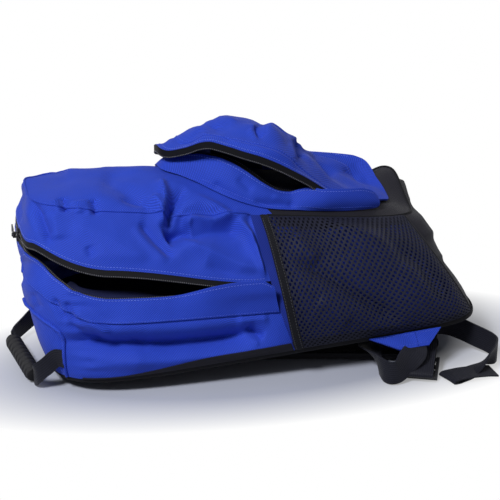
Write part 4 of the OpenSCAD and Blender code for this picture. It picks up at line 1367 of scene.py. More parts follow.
def net(name, place, length, height, slot, nodes):
    """A knitted net laid on place(u, v)."""
    piece, _, _ = start_grid(name, round(length / NET_PITCH), round(height / NET_PITCH))
    write_points(piece, read_points(piece) * [length * MM, height * MM, 0.0])
    edit(piece)
    bpy.ops.mesh.select_mode(type="EDGE")
    bpy.ops.mesh.select_all(action="SELECT")
    bpy.ops.mesh.poke()
    bpy.ops.mesh.select_all(action="DESELECT")
    leave_edit()
    ends = np.zeros(len(piece.data.edges) * 2, int)
    piece.data.edges.foreach_get("vertices", ends)
    where = read_points(piece)[ends.reshape(-1, 2)]
    gap = np.abs(np.diff(where, axis=1))[:, 0]
    rim = np.abs(where).min(axis=1)
    straight = np.minimum(gap[:, 0], gap[:, 1]) < 1e-6
    on_rim = (rim[:, 0] > length * MM / 2 - 1e-5) | (rim[:, 1] > height * MM / 2 - 1e-5)
    piece.data.edges.foreach_set("select", straight & ~on_rim)
    bpy.ops.object.mode_set(mode="EDIT")
    bpy.ops.mesh.dissolve_edges(use_verts=False)
    bpy.ops.mesh.select_mode(type="FACE")
    bpy.ops.mesh.select_all(action="SELECT")
    bpy.ops.mesh.inset(thickness=STRAND * MM, depth=0.0, use_individual=True)
    bpy.ops.mesh.delete(type="FACE")
    leave_edit()
    flat = read_points(piece)
    u, v = flat[:, 0] / (length * MM) + 0.5, flat[:, 1] / (height * MM) + 0.5
    write_points(piece, place(u, v) * MM)
    write_map(piece, flat[:, :2])
    modify(piece, "SOLIDIFY", thickness=NET_T * MM, offset=0.0)
    rounded_off(piece, NET_YARN)
    return dress(piece, "pack", slot, nodes)


def hem_roll(share):
    return HEM_ROLL * np.sin(np.pi * share) ** 0.5


print("net of", round(NET_LEN / NET_PITCH), "by", round(NET_H / NET_PITCH), "holes")

# %% Hang the mesh pockets
for side in SIDES:
    is_far = side == "far"

    def on_side(u, v, start, end, out, is_far=is_far):
        """A place between two near plan angles, or between their mirror angles on the far side."""
        a = mix(start + mouth_slant(v), end, 1 - u if is_far else u)
        return mesh_skin(360 - a if is_far else a, v, out)

    def net_place(u, v, on_side=on_side):
        return on_side(u, v, MESH_A0 - 0.2, MESH_A1 + 0.4, NET_OFF)

    def hem_place(u, v, on_side=on_side):
        end = MESH_A0 + mouth_slant(v)
        return on_side(u, v, MESH_A0 - HEM_DEG, end, HEM_OFF + hem_roll(u))

    net(f"mesh_pocket_{side}_net", net_place, NET_LEN, NET_H, "mesh", [f"mesh_pocket_{side}"])
    cloth(f"mesh_hem_{side}_band", (8, 60), hem_place, (HEM_KNIT,), "binding", [f"mesh_hem_{side}"], HEM_T)
print("mesh pockets hung")

# %% [markdown]
# ## Back panel
#
# The back panel is foam under an air-mesh cover, sewn down along its middle and across, so that it stands
# in cushions. A pressed form could be modelled by hand, but a short cloth simulation with a little air
# inside swells it as foam under cloth swells. The sewn channels are pressed in afterwards, because the
# remesh would lose them.

# %% Swelling a pad
PUFF_FRAMES, AIR_PRESSURE = 20, 4.0


def closed_form(name, outline, low, high):
    """A closed block over a plan outline, all in millimetres."""
    alone()
    bpy.ops.mesh.primitive_circle_add(vertices=len(outline), radius=1.0, fill_type="NGON")
    piece = bpy.context.object
    piece.name = name
    write_points(piece, points(outline[:, 0], outline[:, 1], low) * MM)
    edit(piece)
    bpy.ops.mesh.extrude_region_move(TRANSFORM_OT_translate={"value": (0.0, 0.0, (high - low) * MM)})
    leave_edit()
    face_outward(piece)
    return piece


def swell(piece, voxel, cap):
    """Remesh a closed form evenly and swell it with air, moving no point further than cap."""
    pick(piece)
    piece.data.remesh_voxel_size = voxel * MM
    bpy.ops.object.voxel_remesh()
    start = read_points(piece)
    bpy.ops.object.modifier_add(type="CLOTH")
    air = piece.modifiers[-1]
    air.settings.use_pressure = True
    air.settings.uniform_pressure_force = AIR_PRESSURE
    air.settings.effector_weights.gravity = 0.0
    air.settings.quality = 4
    air.point_cache.frame_start = 1
    air.point_cache.frame_end = PUFF_FRAMES
    for frame_number in range(1, PUFF_FRAMES + 1):
        bpy.context.scene.frame_set(frame_number)
    bpy.ops.object.modifier_apply(modifier=air.name)
    bpy.context.scene.frame_set(1)
    move = read_points(piece) - start
    far = np.linalg.norm(move, axis=1, keepdims=True)
    write_points(piece, start + move * np.minimum(1.0, cap * MM / np.maximum(far, 1e-9)))


print("pads swell over", PUFF_FRAMES, "frames")

# %% Padded back
TILT_DEG = math.degrees(math.atan(TILT))
FOAM_T, LINING_T, FOAM_INSET = 7.0, 1.2, 16.0
PAD_TOP = COVER_T + SEAM + FOAM_T
# The sewn channels: half widths, and their places across and along the panel
SPINE_HALF, ACROSS_HALF, EDGE_HALF = 11.0, 7.0, 6.0
ACROSS_AT, EDGE_AT, CHANNEL_DEPTH = (128.0, 262.0), 96.0, 4.4


def on_panel(u, y, rise):
    """A point given along, across and above the back panel's tilted plane."""
    x = X_TOP + u * cosd(TILT_DEG) - rise * sind(TILT_DEG)
    return points(x, y, LIFT_TOP + u * sind(TILT_DEG) + rise * cosd(TILT_DEG))


def panel_outline(inset, count=180):
    edge = wall(np.linspace(0, 360, count, endpoint=False), np.zeros(count))
    u = (edge[:, 0] - X_MID) * (1 - inset / (BACK_LEN / 2)) + BACK_LEN / 2
    return np.stack([u / cosd(TILT_DEG), edge[:, 1] * (1 - inset / (BACK_W / 2))], -1)


def channels(u, y):
    """Depth, from 0 to 1, of the sewn channels in the padded back."""
    def groove(gap, half):
        return np.exp(-(gap / half) ** 2)
    spine = groove(y, SPINE_HALF)
    across = sum(groove(u - place, ACROSS_HALF) for place in ACROSS_AT)
    sides = groove(np.abs(y) - EDGE_AT, EDGE_HALF)
    return clamp01(spine + across * ease((np.abs(y) - 14) / 10) + sides)


back = closed_form("back_pad", panel_outline(3.0), 2.2, PAD_TOP - 1.8)
swell(back, voxel=5.0, cap=4.0)
found = read_points(back) / MM
edge_share = np.abs(found[:, 1]) / (BACK_W / 2)
end_share = np.abs(found[:, 0] - BACK_LEN / 2) / (BACK_LEN / 2)
rim = clamp01((1.0 - np.maximum(edge_share, end_share)) / 0.06)
lower = ease((PAD_TOP / 2 - found[:, 2]) / 3.0)
found[:, 2] += lower * channels(found[:, 0], found[:, 1]) * CHANNEL_DEPTH
found[:, 2] = np.clip(found[:, 2], 0.2, mix(COVER_T, PAD_TOP - 0.2, ease(rim)))
write_points(back, on_panel(found[:, 0], found[:, 1], found[:, 2]) * MM)
rounded_off(back, AIR_MESH)
dress(back, "pack", "back_mesh", ["back_cover", "back_foam"])
print("back pad has", len(back.data.vertices), "points")

# %% Lining and bound edge of the back
WRAP_A, WRAP_NARROW, WRAP_WIDE, WRAP_T = 226.0, 1.5, 11.0, 0.8


def lining_place(u, v):
    edge = panel_outline(FOAM_INSET, 361)
    middle = np.array([BACK_LEN / 2 / cosd(TILT_DEG), 0.0])
    turn = np.round(u * 180).astype(int) * 2 % 361
    flat = middle + (edge[turn] - middle) * (1 - v * 0.999)[:, None]
    wave = slack(points(flat[:, 0], flat[:, 1], 0.0), 70.0, 81) * 0.3
    return on_panel(flat[:, 0], flat[:, 1], PAD_TOP + SEAM + LINING_T + wave)


cloth("back_lining_cloth", (180, 24), lining_place, (LINING_CLOTH,), "black_cloth", ["back_lining"], LINING_T,
      plan=True, fold_seams=True)


def edge_tape_place(u, v):
    """Bound edge of the back panel: a rolled strip round its rim."""
    a = u * 360.0
    rim_at = wall(a, np.zeros_like(a))
    out = wall_out(a, np.full_like(a, 0.03)) * [1, 1, 0]
    turn = mix(-0.62, 0.62, v) * math.pi
    roll = 1.2 * np.cos(turn)
    rise = COVER_T * 0.5 + COVER_T * 0.52 * np.sin(turn)
    return rim_at + unit(out) * (roll - 0.9)[:, None] + points(0.0, 0.0, rise)


cloth("back_edge_binding", (420, 8), edge_tape_place, (BINDING,), "binding", [], 0.9, fold_seams=True)


def mirrored_place(place, far):
    """A place formula turned to the far side, with its faces kept outward."""
    if not far:
        return place
    return lambda u, v: place(1 - u, v) * MIRROR


def edge_wrap_place(u, v):
    """The back's cloth is turned up round the long sides: a strip that widens toward the base."""
    a = mix(WRAP_A, NEAR_MOUTH - 0.3, u)
    wide = mix(WRAP_NARROW, WRAP_WIDE, ease((a - WRAP_A - 6) / 26))
    return lower_skin(a, seam_s(a) + (v * wide - 1.6) * per_mm(a), np.full_like(a, 0.9))


for side in SIDES:
    cloth(f"back_edge_wrap_{side}", (160, 6), mirrored_place(edge_wrap_place, side == "far"), (NAVY_NYLON,),
          "black_cloth", [], WRAP_T)
print("back panel bound")

# %% [markdown]
# ## Webbing
#
# Webbing is flat and keeps its width, so each strip is a grid swept along a route: a list of places and
# of the directions across the strip. The routes are those of the CAD strips, smoothed more finely.

# %% Ribbons along a route
SMOOTH_BAND, BAND_WAVE = 50.0, 0.12


def smooth_route(keys, steps):
    """Smooth curve through keys of (place, direction across), with steps points for each key."""
    where = np.array([k[0] for k in keys], float)
    side = np.array([k[1] for k in keys], float)
    last = len(keys) - 1
    spots, sides = [], []
    for i in range(last):
        a, b, c, d = where[max(i - 1, 0)], where[i], where[i + 1], where[min(i + 2, last)]
        for k in np.arange(steps) / steps:
            spots.append(0.5 * (2 * b + (c - a) * k + (2 * a - 5 * b + 4 * c - d) * k ** 2
                                + (3 * b - a - 3 * c + d) * k ** 3))
            sides.append(mix(side[i], side[i + 1], k))
    spots.append(where[last])
    sides.append(side[last])
    return np.array(spots), np.array(sides)


def ribbon(name, keys, width, thick, finish, slot, nodes, body, steps=8, across=8, mirrored=False, ends=None):
    """A flat strip along keys, or between two of them; with no body given, it is left on no body and the
    caller bakes its place into its points.
    """
    spots, sides = smooth_route(keys, steps)
    if ends:
        kept = slice(ends[0] * steps, ends[1] * steps + 1)
        spots, sides = spots[kept], sides[kept]
    way = unit(np.gradient(spots, axis=0))
    sides = unit(sides - way * (sides * way).sum(-1, keepdims=True))
    face = np.cross(way, sides)
    count = len(spots) - 1

    def place(u, v):
        i = np.round(u * count).astype(int)
        wave = BAND_WAVE * np.sin(i * 0.9) * (v - 0.5)
        found = spots[i] + sides[i] * ((v - 0.5) * width)[:, None] + face[i] * wave[:, None]
        return found * MIRROR if mirrored else found

    piece, u, v = start_grid(name, count, across)
    where = place(u, v)
    write_points(piece, where * MM)
    write_map(piece, arc_map(u, v, where) * MM)
    piece.data.materials.append(finish)
    if mirrored:
        turn_over(piece)
    modify(piece, "SOLIDIFY", thickness=thick * MM, offset=0.0)
    smooth(piece, SMOOTH_BAND)
    if body:
        return dress(piece, body, slot, nodes)
    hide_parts(*nodes)
    return piece


print("ribbon helpers ready")

# %% Shoulder strap sizes
CORNER = np.array([X_BASE, -BACK_W / 2, 0.0])
YOKE_X, YOKE_GAP = X_TOP + YOKE_IN, 96.0
STRAP_W_TOP, STRAP_W_END, LINER_T = 62.0, 52.0, 3.0
STRAP_KEYS = np.array([
    [YOKE_X, -YOKE_GAP / 2],
    [YOKE_X + 130, -YOKE_GAP / 2 - 2],
    [CORNER[0] - 166, CORNER[1] + 58],
    [CORNER[0] - 56, CORNER[1] + 30]])


def strap_mid(k):
    k = np.asarray(k, float)[..., None]
    m = 1 - k
    first, second, third, fourth = STRAP_KEYS
    return m ** 3 * first + 3 * m * m * k * second + 3 * m * k * k * third + k ** 3 * fourth


def strap_side(k, side, cut):
    way = unit(strap_mid(np.minimum(1, k + 0.01)) - strap_mid(np.maximum(0, k - 0.01)))
    half = mix(STRAP_W_TOP, STRAP_W_END, ease(k)) / 2 - cut
    return strap_mid(k) + side * half[..., None] * np.stack([-way[..., 1], way[..., 0]], -1)


def strap_outline(start, end, cut):
    k = np.linspace(start, end, 50)
    return np.concatenate([strap_side(k, -1, cut), strap_side(k[::-1], 1, cut)])


print("strap runs from", STRAP_KEYS[0], "to", STRAP_KEYS[-1])


# %% [markdown]
# ## Shoulder straps
#
# Each strap is two cushions sewn back to back: nylon outside, air mesh inside, with a bound edge. The
# near strap is swollen by the same short simulation as the back, and the far one is its mirror image.

# %% Padded straps


def mirror_copy(piece, name):
    """A copy of a piece mirrored to the far side, with its own mesh."""
    twin = piece.copy()
    twin.data = piece.data.copy()
    twin.name = name
    bpy.context.scene.collection.objects.link(twin)
    write_points(twin, read_points(twin) * MIRROR)
    turn_over(twin)
    return twin


def strap_cushion(name, cut, ends, low, high, cap, finish):
    """A swelled pad over part of the strap, kept between two levels."""
    piece = closed_form(name, strap_outline(*ends, cut + 1.5), low + 0.9, high - 0.9)
    swell(piece, voxel=4.5, cap=cap)
    found = read_points(piece) / MM
    found[:, 2] = np.clip(found[:, 2], low, high)
    write_points(piece, found * MM)
    rounded_off(piece, finish)
    return piece


LINER_LOW = STRAP_T - LINER_T
# Each cushion: kind, inset, ends along the strap, lowest and highest level, most swelling, finish and slot
CUSHIONS = (
    ("pad", 0.0, (0.0, 1.0), 0.1, LINER_LOW - SEAM, 2.5, STRAP_CLOTH, "strap_cloth"),
    ("liner", 3.0, (0.05, 0.995), LINER_LOW, STRAP_T, 1.5, AIR_MESH, "back_mesh"),
)
near_pieces = [strap_cushion(f"strap_{kind}_near_cushion", *form) for kind, *form, _ in CUSHIONS]
for (kind, *_, slot), near_piece in zip(CUSHIONS, near_pieces):
    far_piece = mirror_copy(near_piece, f"strap_{kind}_far_cushion")
    for side, piece in zip(SIDES, (near_piece, far_piece)):
        dress(piece, f"strap_{side}", slot, [f"strap_{kind}_{side}"])
print("strap cushions swelled")

# %% Strap roots, bindings and wings
WING_Y, WING_OUT, WING_DROP, WING_LIFT = -BACK_W / 2 - SEAM - CLOTH_T, 17.0, 9.0, 3.6
WING_PUFF_WAY = np.array([0.0, -0.47, 0.88])
BINDING_T, BINDING_H = 1.3, STRAP_T * 0.62


def wing_top(k):
    x = CORNER[0] - mix(125.0, 49.0, k)
    return points(x, WING_Y, back_z(x) + WING_LIFT)


def wing_low(k):
    x = CORNER[0] - mix(98.0, 67.0, k)
    return points(x, WING_Y - WING_OUT, back_z(x) + WING_LIFT - WING_DROP)


def wing_skin(k, v, out=0.0):
    """Outer face of the corner wing: v runs from its narrow end, 0, to the bag, 1."""
    base = mix(wing_low(k), wing_top(k), v[:, None])
    puff = np.sin(np.pi * v) * (0.9 * np.sin(k * 9.0) + 0.8) * np.sin(np.pi * k)
    return base + WING_PUFF_WAY * (puff + out)[:, None]


def yoke_place(u, v):
    across = (u - 0.5) * STRAP_W_TOP
    pleat = 0.25 * np.sin(u * 40.0)
    return on_panel(YOKE_IN - 22 + 36 * v, across - YOKE_GAP / 2, -0.2 - YOKE_T + pleat * 0.3)


def binding_keys(side):
    k = np.linspace(0.04, 0.985, 22)
    edge = strap_side(k, side, 0.6)
    way = np.stack([edge[:, 0], edge[:, 1], np.full(len(k), STRAP_T * 0.52)], -1)
    return [(spot, (0.0, 0.0, 1.0)) for spot in way]


for side in SIDES:
    is_far = side == "far"
    cloth(f"strap_wing_{side}_cloth", (40, 12), mirrored_place(wing_skin, is_far), BLUE, "blue_cloth",
          [f"strap_wing_{side}"])
    cloth(f"strap_yoke_{side}_cloth", (30, 16), mirrored_place(yoke_place, is_far), (STRAP_CLOTH,),
          "strap_cloth", [f"strap_yoke_{side}"], YOKE_T, offset=1.0)
    for edge, name in ((-1, "outer"), (1, "inner")):
        ribbon(f"strap_binding_{name}_{side}", binding_keys(edge), BINDING_H, BINDING_T, BINDING, "binding",
               [], f"strap_{side}", steps=5, across=4, mirrored=is_far)
print("straps sewn")

# %% [markdown]
# ## Adjuster webbing
#
# One strip runs from the corner wing, through the ladder-lock and on as a loose tail. It is cut in three
# where bodies meet: the turn and the tail lie with the strap, while the drop and the threaded part are
# left on no body.

# %% Lower webbing
WEB_W, WEB_T, LOCK_T = 25.0, 1.4, 4.0
LOCK_BASE, LOCK_TURN, LOCK_LEN = CORNER + [-67.0, -4.0, 0.0], -113.5, 32.0
LOCK_BAR = LOCK_T / 2
LOOP_IN = LOCK_BAR + 0.4
LOCK_Z = STRAP_T + 0.4 - LOOP_IN
LOCK_DROP = math.degrees(math.asin((LOCK_Z - LOCK_BAR) / LOCK_LEN * 0.99))
LOCK_WAY = np.array([cosd(LOCK_TURN), sind(LOCK_TURN), 0.0])
LOCK_ACROSS = np.array([-sind(LOCK_TURN), cosd(LOCK_TURN), 0.0])


def lock_point(u, h, drop=None):
    """A place on the ladder-lock: u along it from its pivot bar and h above its middle plane."""
    tip = LOCK_DROP if drop is None else drop
    x, z = u * cosd(tip) + h * sind(tip), -u * sind(tip) + h * cosd(tip)
    return LOCK_BASE + LOCK_WAY * x + [0.0, 0.0, LOCK_Z + z]


WING_RUN = unit(np.array([0.0, -WING_OUT, -WING_DROP]))
WING_FACE = unit(np.array([0.0, -WING_DROP, WING_OUT]))
WING_MID = wing_low(0.5) - WING_FACE * CLOTH_T / 2
UPRIGHT, LOW_WEB = (0, 0, -1), WEB_T / 2 + 0.3


def from_corner(x, y, z):
    return CORNER + [x, y, z]


DROP_KEYS = [
    (WING_MID - WING_RUN * 6 - WING_FACE * 0.7, (1, 0, 0)),
    (WING_MID + WING_RUN * 1.9, (1, 0, 0)),
    (WING_MID + WING_RUN * 6 + [-2, 0, -0.5], (1, 0, -0.1)),
    (from_corner(-95.5, -32.5, 20.6), (0.75, 0, -0.6)),
    (from_corner(-104, -38, 14.5), (0.2, 0, -1)),
    (from_corner(-112, -37.5, 13), UPRIGHT),
    (from_corner(-117, -30, 12.8), UPRIGHT),
    (from_corner(-119, -15, 13), (0.2, 0, -1)),
    (from_corner(-119, 3, 15), (0.75, 0, -0.6)),
    (from_corner(-117, 20, STRAP_T + 6.5), (1, 0, -0.1)),
    (from_corner(-109, 37, STRAP_T + 7), (0.8, -0.6, 0)),
    (from_corner(-90, 45, STRAP_T + 7), (0, -1, 0)),
    (from_corner(-71, 37, STRAP_T + 7), (-0.6, -0.8, 0)),
]
THREAD_PLACES = [
    (-26, 4.6), (-12, 4.6), (-2, LOOP_IN + 3.2), (4.6, 3.6), (7.4, 0), (10.4, -3), (13, -3.3), (15.2, -2.6),
    (17.5, 0), (19.8, 2.8), (23, 3.5), (30, 3.6), (36, 4.2), (38.4, 6.8), (36, 9.4), (28, 10.2), (14, 11.2),
    (0, 12.6), (-12, 13.4), (-26, 13.4),
]
THREAD_KEYS = [(lock_point(u, h), -LOCK_ACROSS) for u, h in THREAD_PLACES]
TAIL_KEYS = [
    (from_corner(-47, 36, STRAP_T + 15), (-0.65, 0.28, -0.7)),
    (from_corner(-37, 41, STRAP_T + 14.4), UPRIGHT),
    (from_corner(-22, 35, STRAP_T + 13), UPRIGHT),
    (from_corner(-4, 17, STRAP_T + 8), UPRIGHT),
    (from_corner(7, 2, 15.4), UPRIGHT),
    (from_corner(10, -9, 13.6), UPRIGHT),
    (from_corner(5, -18, 13), (0, 0.1, -1)),
    (from_corner(-6, -24, 11.6), (-0.2, 0.5, -0.85)),
    (from_corner(-18, -29, 6.4), (-0.35, 0.8, -0.4)),
    (from_corner(-32, -34.5, 2), (-0.35, 0.93, -0.05)),
    (from_corner(-46, -39.5, LOW_WEB + 0.2), (-0.35, 0.94, 0)),
    (from_corner(-53, -42, LOW_WEB + 0.6), (-0.35, 0.94, 0)),
    (from_corner(-55, -42.8, 3), (-0.35, 0.94, 0)),
    (from_corner(-52, -42, 5), (-0.33, 0.94, 0)),
    (from_corner(-38, -39.4, 5.4), (-0.25, 0.97, 0)),
    (from_corner(-18, -37, 4.4), (-0.1, 1, 0)),
    (from_corner(-3, -36, 2.6), (-0.05, 1, 0)),
]
ALL_KEYS = DROP_KEYS + THREAD_KEYS + TAIL_KEYS
# Keys where the strip is cut: past the drop, and at both ends of the threaded part
DROP_END, THREAD_START = 11, len(DROP_KEYS)
THREAD_END = THREAD_START + len(THREAD_KEYS) - 1
# Places between which the drop would go over from the pack to the strap; nothing blends the drop between them
DROP_FROM, DROP_TO = (155, -156, 15), (155, -95, 15)
TAB_TURNS = np.linspace(90, -200, 15)
TAB_R = LOOP_IN + WEB_T / 2
TAB_KEYS = [(lock_point(u, TAB_R, 0.0), LOCK_ACROSS) for u in (-36, -26, -14, -5)]
TAB_KEYS += [(lock_point(TAB_R * cosd(t), TAB_R * sind(t), 0.0), LOCK_ACROSS) for t in TAB_TURNS]


def flipped(spot, far):
    """A place in metres, mirrored for the far side."""
    return tuple(float(v) for v in np.array(spot) * MM * (MIRROR if far else 1.0))


for side in SIDES:
    is_far = side == "far"
    strap = f"strap_{side}"
    strip = dict(width=WEB_W - 0.6, thick=WEB_T, finish=WEBBING, slot="webbing",
                 nodes=[f"lower_webbing_{side}"], mirrored=is_far)
    drop = ribbon(f"webbing_drop_{side}", ALL_KEYS, body=None, ends=(0, DROP_END), **strip)
    flipped(DROP_FROM, is_far)
    flipped(DROP_TO, is_far)
    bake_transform(drop)
    ribbon(f"webbing_turn_{side}", ALL_KEYS, body=strap, ends=(DROP_END, THREAD_START), **strip)
    thread = ribbon(f"webbing_thread_{side}", ALL_KEYS, body=None, ends=(THREAD_START, THREAD_END), **strip)
    flipped(lock_point(-9, 0), is_far)
    flipped(lock_point(6, 0), is_far)
    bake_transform(thread)
    ribbon(f"webbing_tail_{side}", ALL_KEYS, body=strap, ends=(THREAD_END, len(ALL_KEYS) - 1), **strip)
    ribbon(f"strap_tab_{side}_loop", TAB_KEYS, WEB_W, WEB_T, WEBBING, "webbing", [f"strap_tab_{side}"], strap,
           steps=4, mirrored=is_far)
print("webbing threaded")

# %% [markdown]
# ## Grab handle
#
# A rubber grip is moulded over the webbing of the handle. It is round with raised ribs, so a grid is
# rolled into a tube whose radius rises and falls along it, and closed at both ends.

# %% Ribbed grip
GRIP_LEN, GRIP_D, GRIP_RIBS, RIB_H, END_ROUND = 88.0, 15.0, 9, 1.0, 2.2
RIB_R = GRIP_D / 2 + RIB_H
GRIP_MID = np.array([X_TOP - 23.0, -47.0, RIB_R])
GRIP_TURN = math.degrees(math.atan2(-96.0, 16.0))
GRIP_WAY = np.array([cosd(GRIP_TURN), sind(GRIP_TURN), 0.0])
GRIP_SIDE = np.array([-GRIP_WAY[1], GRIP_WAY[0], 0.0])
RIB_PITCH = GRIP_LEN / (GRIP_RIBS + 1)


def grip_place(u, v):
    turn = u * 2 * math.pi
    t = np.clip((v - 0.03) / 0.94, 0.0, 1.0)
    run = (t - 0.5) * GRIP_LEN
    phase = np.abs((run / RIB_PITCH + 0.5) % 1.0 - 0.5) / 0.5
    rib = ease((0.78 - phase) / 0.34)
    inside = np.abs(run) < GRIP_LEN / 2 - RIB_PITCH * 0.5
    radius = GRIP_D / 2 + np.where(inside, rib * RIB_H, 0.0)
    end = clamp01((GRIP_LEN / 2 - np.abs(run)) / END_ROUND)
    radius = radius * (0.8 + 0.2 * np.sqrt(np.maximum(0.0, 1 - (1 - end) ** 2)))
    radius = np.where((v < 0.015) | (v > 0.985), 0.01, radius)
    found = GRIP_MID + GRIP_WAY * run[:, None]
    around = GRIP_SIDE * np.cos(turn)[:, None] + np.array([0.0, 0.0, 1.0]) * np.sin(turn)[:, None]
    return found + around * radius[:, None]


grip = cloth("handle_grip_ribbed", (48, 200), grip_place, (RUBBER,), "grip_rubber", ["handle_grip"], 0.0,
             body="handle", fold_seams=True)
face_outward(grip)
print("grip has", GRIP_RIBS, "ribs")

# %% Handle webbing
HANDLE_W, HANDLE_T, ROOT_S = 18.0, 1.6, 0.065
NEAR_GRIP_END = GRIP_MID + GRIP_WAY * (GRIP_LEN / 2 + 0.4)
FAR_GRIP_END = GRIP_MID - GRIP_WAY * (GRIP_LEN / 2 + 0.4)
HANDLE_LIFT = HANDLE_W / 2 + 0.4 - RIB_R


def root_key(a):
    rise = unit(wall(a, ROOT_S + 0.03) - wall(a, ROOT_S - 0.03))
    return (wall(a, ROOT_S) + wall_out(a, ROOT_S) * (HANDLE_T / 2 + 0.35), rise)


FAR_ROOT = root_key(168.0)
CORNER_A, CORNER_S = np.array([222.3, 219.6]), np.array([0.16, 0.152])
ON_CORNER = lower_skin(CORNER_A, CORNER_S, np.full(2, HANDLE_T / 2 + 0.8))
NEAR_HANDLE = [
    (ON_CORNER[0], (-0.05, 0.1, 1)),
    (ON_CORNER[1], (-0.05, 0.1, 1)),
    (mix(ON_CORNER[1], NEAR_GRIP_END, 0.32) + [-3, -5, 0], (-0.1, 0.1, 1)),
    (mix(ON_CORNER[1], NEAR_GRIP_END, 0.7) + [-3, -7.5, 1.5], (-0.05, 0, 1)),
    (NEAR_GRIP_END + [0.5, -6.0, HANDLE_LIFT + 0.4], (0, 0, 1)),
    (NEAR_GRIP_END + [0, -0.4, HANDLE_LIFT], (0, 0, 1)),
]
FAR_HANDLE = [
    FAR_ROOT,
    (mix(FAR_ROOT[0], FAR_GRIP_END, 0.35) + [-1, 3, -1], (-0.1, 0, 1)),
    (mix(FAR_ROOT[0], FAR_GRIP_END, 0.75) + [-2, 2, 0], (0, 0, 1)),
    (FAR_GRIP_END + [0, 0.4, HANDLE_LIFT], (0, 0, 1)),
]
near_strip = ribbon("handle_strip_near", NEAR_HANDLE, HANDLE_W, HANDLE_T, WEBBING, "webbing",
                    ["handle_webbing_near"], None)
flipped(ON_CORNER[1], False)
flipped(NEAR_GRIP_END, False)
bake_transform(near_strip)
ribbon("handle_strip_far", FAR_HANDLE, HANDLE_W, HANDLE_T, WEBBING, "webbing", ["handle_webbing_far"],
       "handle")
print("handle hung")

# %% [markdown]
# ## Seams
#
# Sewn edges are what make cloth panels read as a bag. Rolled seams are thin tubes along the panel edges.
# The stitching is one small stitch, repeated along lines that run on the finished cloth.

# %% Rolled seams
PIPING_CELLS = 8


def piping(name, route, radius, finish, slot):
    """A thin rolled seam along route, in millimetres."""
    way = unit(np.gradient(route, axis=0))
    first = unit(np.cross(way, [0.3, 0.2, 0.93]))
    second = np.cross(way, first)
    count = len(route) - 1

    def place(u, v):
        i = np.round(u * count).astype(int)
        turn = v * 2 * math.pi
        end = np.where((i == 0) | (i == count), 0.3, 1.0)
        around = first[i] * np.cos(turn)[:, None] + second[i] * np.sin(turn)[:, None]
        return route[i] + around * (radius * end)[:, None]

    piece = cloth(name, (count, PIPING_CELLS), place, (finish,), slot, [], 0.0, fold_seams=True)
    edit(piece)
    bpy.ops.mesh.region_to_loop()
    bpy.ops.mesh.fill_holes(sides=0)
    leave_edit()
    face_outward(piece)


FRONT_SEAM = path(lambda a: front_skin(a, np.ones_like(a), 0.2), 360 - NEAR_MOUTH, NEAR_MOUTH, 420)
piping("front_edge_seam", FRONT_SEAM, 1.1, BLUE_CLOTH, "blue_cloth")
# The corner seam: run along it, plan angle and depth share
SEAM_KEYS = np.array([
    [0.0, 221.2, 0.03], [0.3, 222.4, 0.16], [0.5, 223.4, 0.295], [0.56, 223.0, 0.335], [0.64, 220.5, 0.362],
    [0.75, 214.0, 0.375], [0.88, 205.0, 0.375], [1.0, 194.0, 0.36],
])
seam_run = np.linspace(0.0, 1.0, 130)
seam_turn = np.interp(seam_run, SEAM_KEYS[:, 0], SEAM_KEYS[:, 1])
seam_depth = np.interp(seam_run, SEAM_KEYS[:, 0], SEAM_KEYS[:, 2])
for side, turn in zip(SIDES, (seam_turn, 360 - seam_turn)):
    line = lower_skin(turn, seam_depth, np.full(len(turn), 0.8))
    piping(f"corner_seam_{side}", line, 1.9, BLUE_CLOTH, "blue_cloth")
for side, a in zip(SIDES, (NEAR_BASE, 360 - NEAR_BASE)):
    turn, depth = np.full(60, a), np.linspace(float(seam_s(a)), 0.995, 60)
    line = wall(turn, depth) + wall_out(turn, depth) * 0.7
    piping(f"base_seam_{side}", line, 1.4, BINDING, "binding")
BASE_EDGE_A = 355.6 - NEAR_MOUTH
BASE_EDGE = path(lambda a: wall(a, np.ones_like(a)) + [0, 0, 0.3], -BASE_EDGE_A, BASE_EDGE_A, 220)
piping("base_front_seam", BASE_EDGE, 1.2, BINDING, "binding")
print("seams rolled")

# %% Stitch lines on the bag
LIP_IN = TAPE_W + 2.0


def lip_line(a):
    return upper_skin(a, up(a, LIP_IN + gape(a)), 0.25)


def lower_lip_line(a):
    return lower_skin(a, up(a, -LIP_IN), 0.25)


def line_on(skin, share, out):
    """A line formula along a skin, at one share across it."""
    return lambda a: skin(a, np.full_like(a, share), out)


FLAP_END = NEAR_MOUTH - 1.0
# Each line: its name, formula, first and last plan angle, points and thread
STITCH_LINES = (
    ("upper_lip", lip_line, 360 - ZIP_END, ZIP_END, 500, THREAD),
    ("lower_lip", lower_lip_line, 360 - ZIP_END, FLAP_START, 400, THREAD),
    ("flap_edge", line_on(flap_skin, 0.92, 0.25), FLAP_START + 9.0, FLAP_END, 260, THREAD),
    ("flap_root", line_on(flap_skin, 0.05, 0.35), FLAP_START + 3.0, FLAP_END, 260, SOFT_THREAD),
    ("pocket_lip", line_on(pocket_skin, 0.965, 0.3), POCKET_ZIP_A0, POCKET_ZIP_A1 + 8, 300, THREAD),
    ("pocket_seam", line_on(pocket_skin, GUSSET_Q - 0.03, 0.3), 0.0, 359.0, 400, SOFT_THREAD),
    ("band_lip", line_on(band_skin, 0.9, 0.3), POCKET_ZIP_A0, BAND_A1 - 2, 300, THREAD),
    ("band_foot", line_on(band_skin, 0.16, 0.3), 225.0, BAND_A1 - 1, 200, SOFT_THREAD),
)
for name, line, start, end, count, thread in STITCH_LINES:
    stitched(f"stitch_{name}", path(line, start, end, count), thread)
print(len(STITCH_LINES), "stitch lines on the bag")

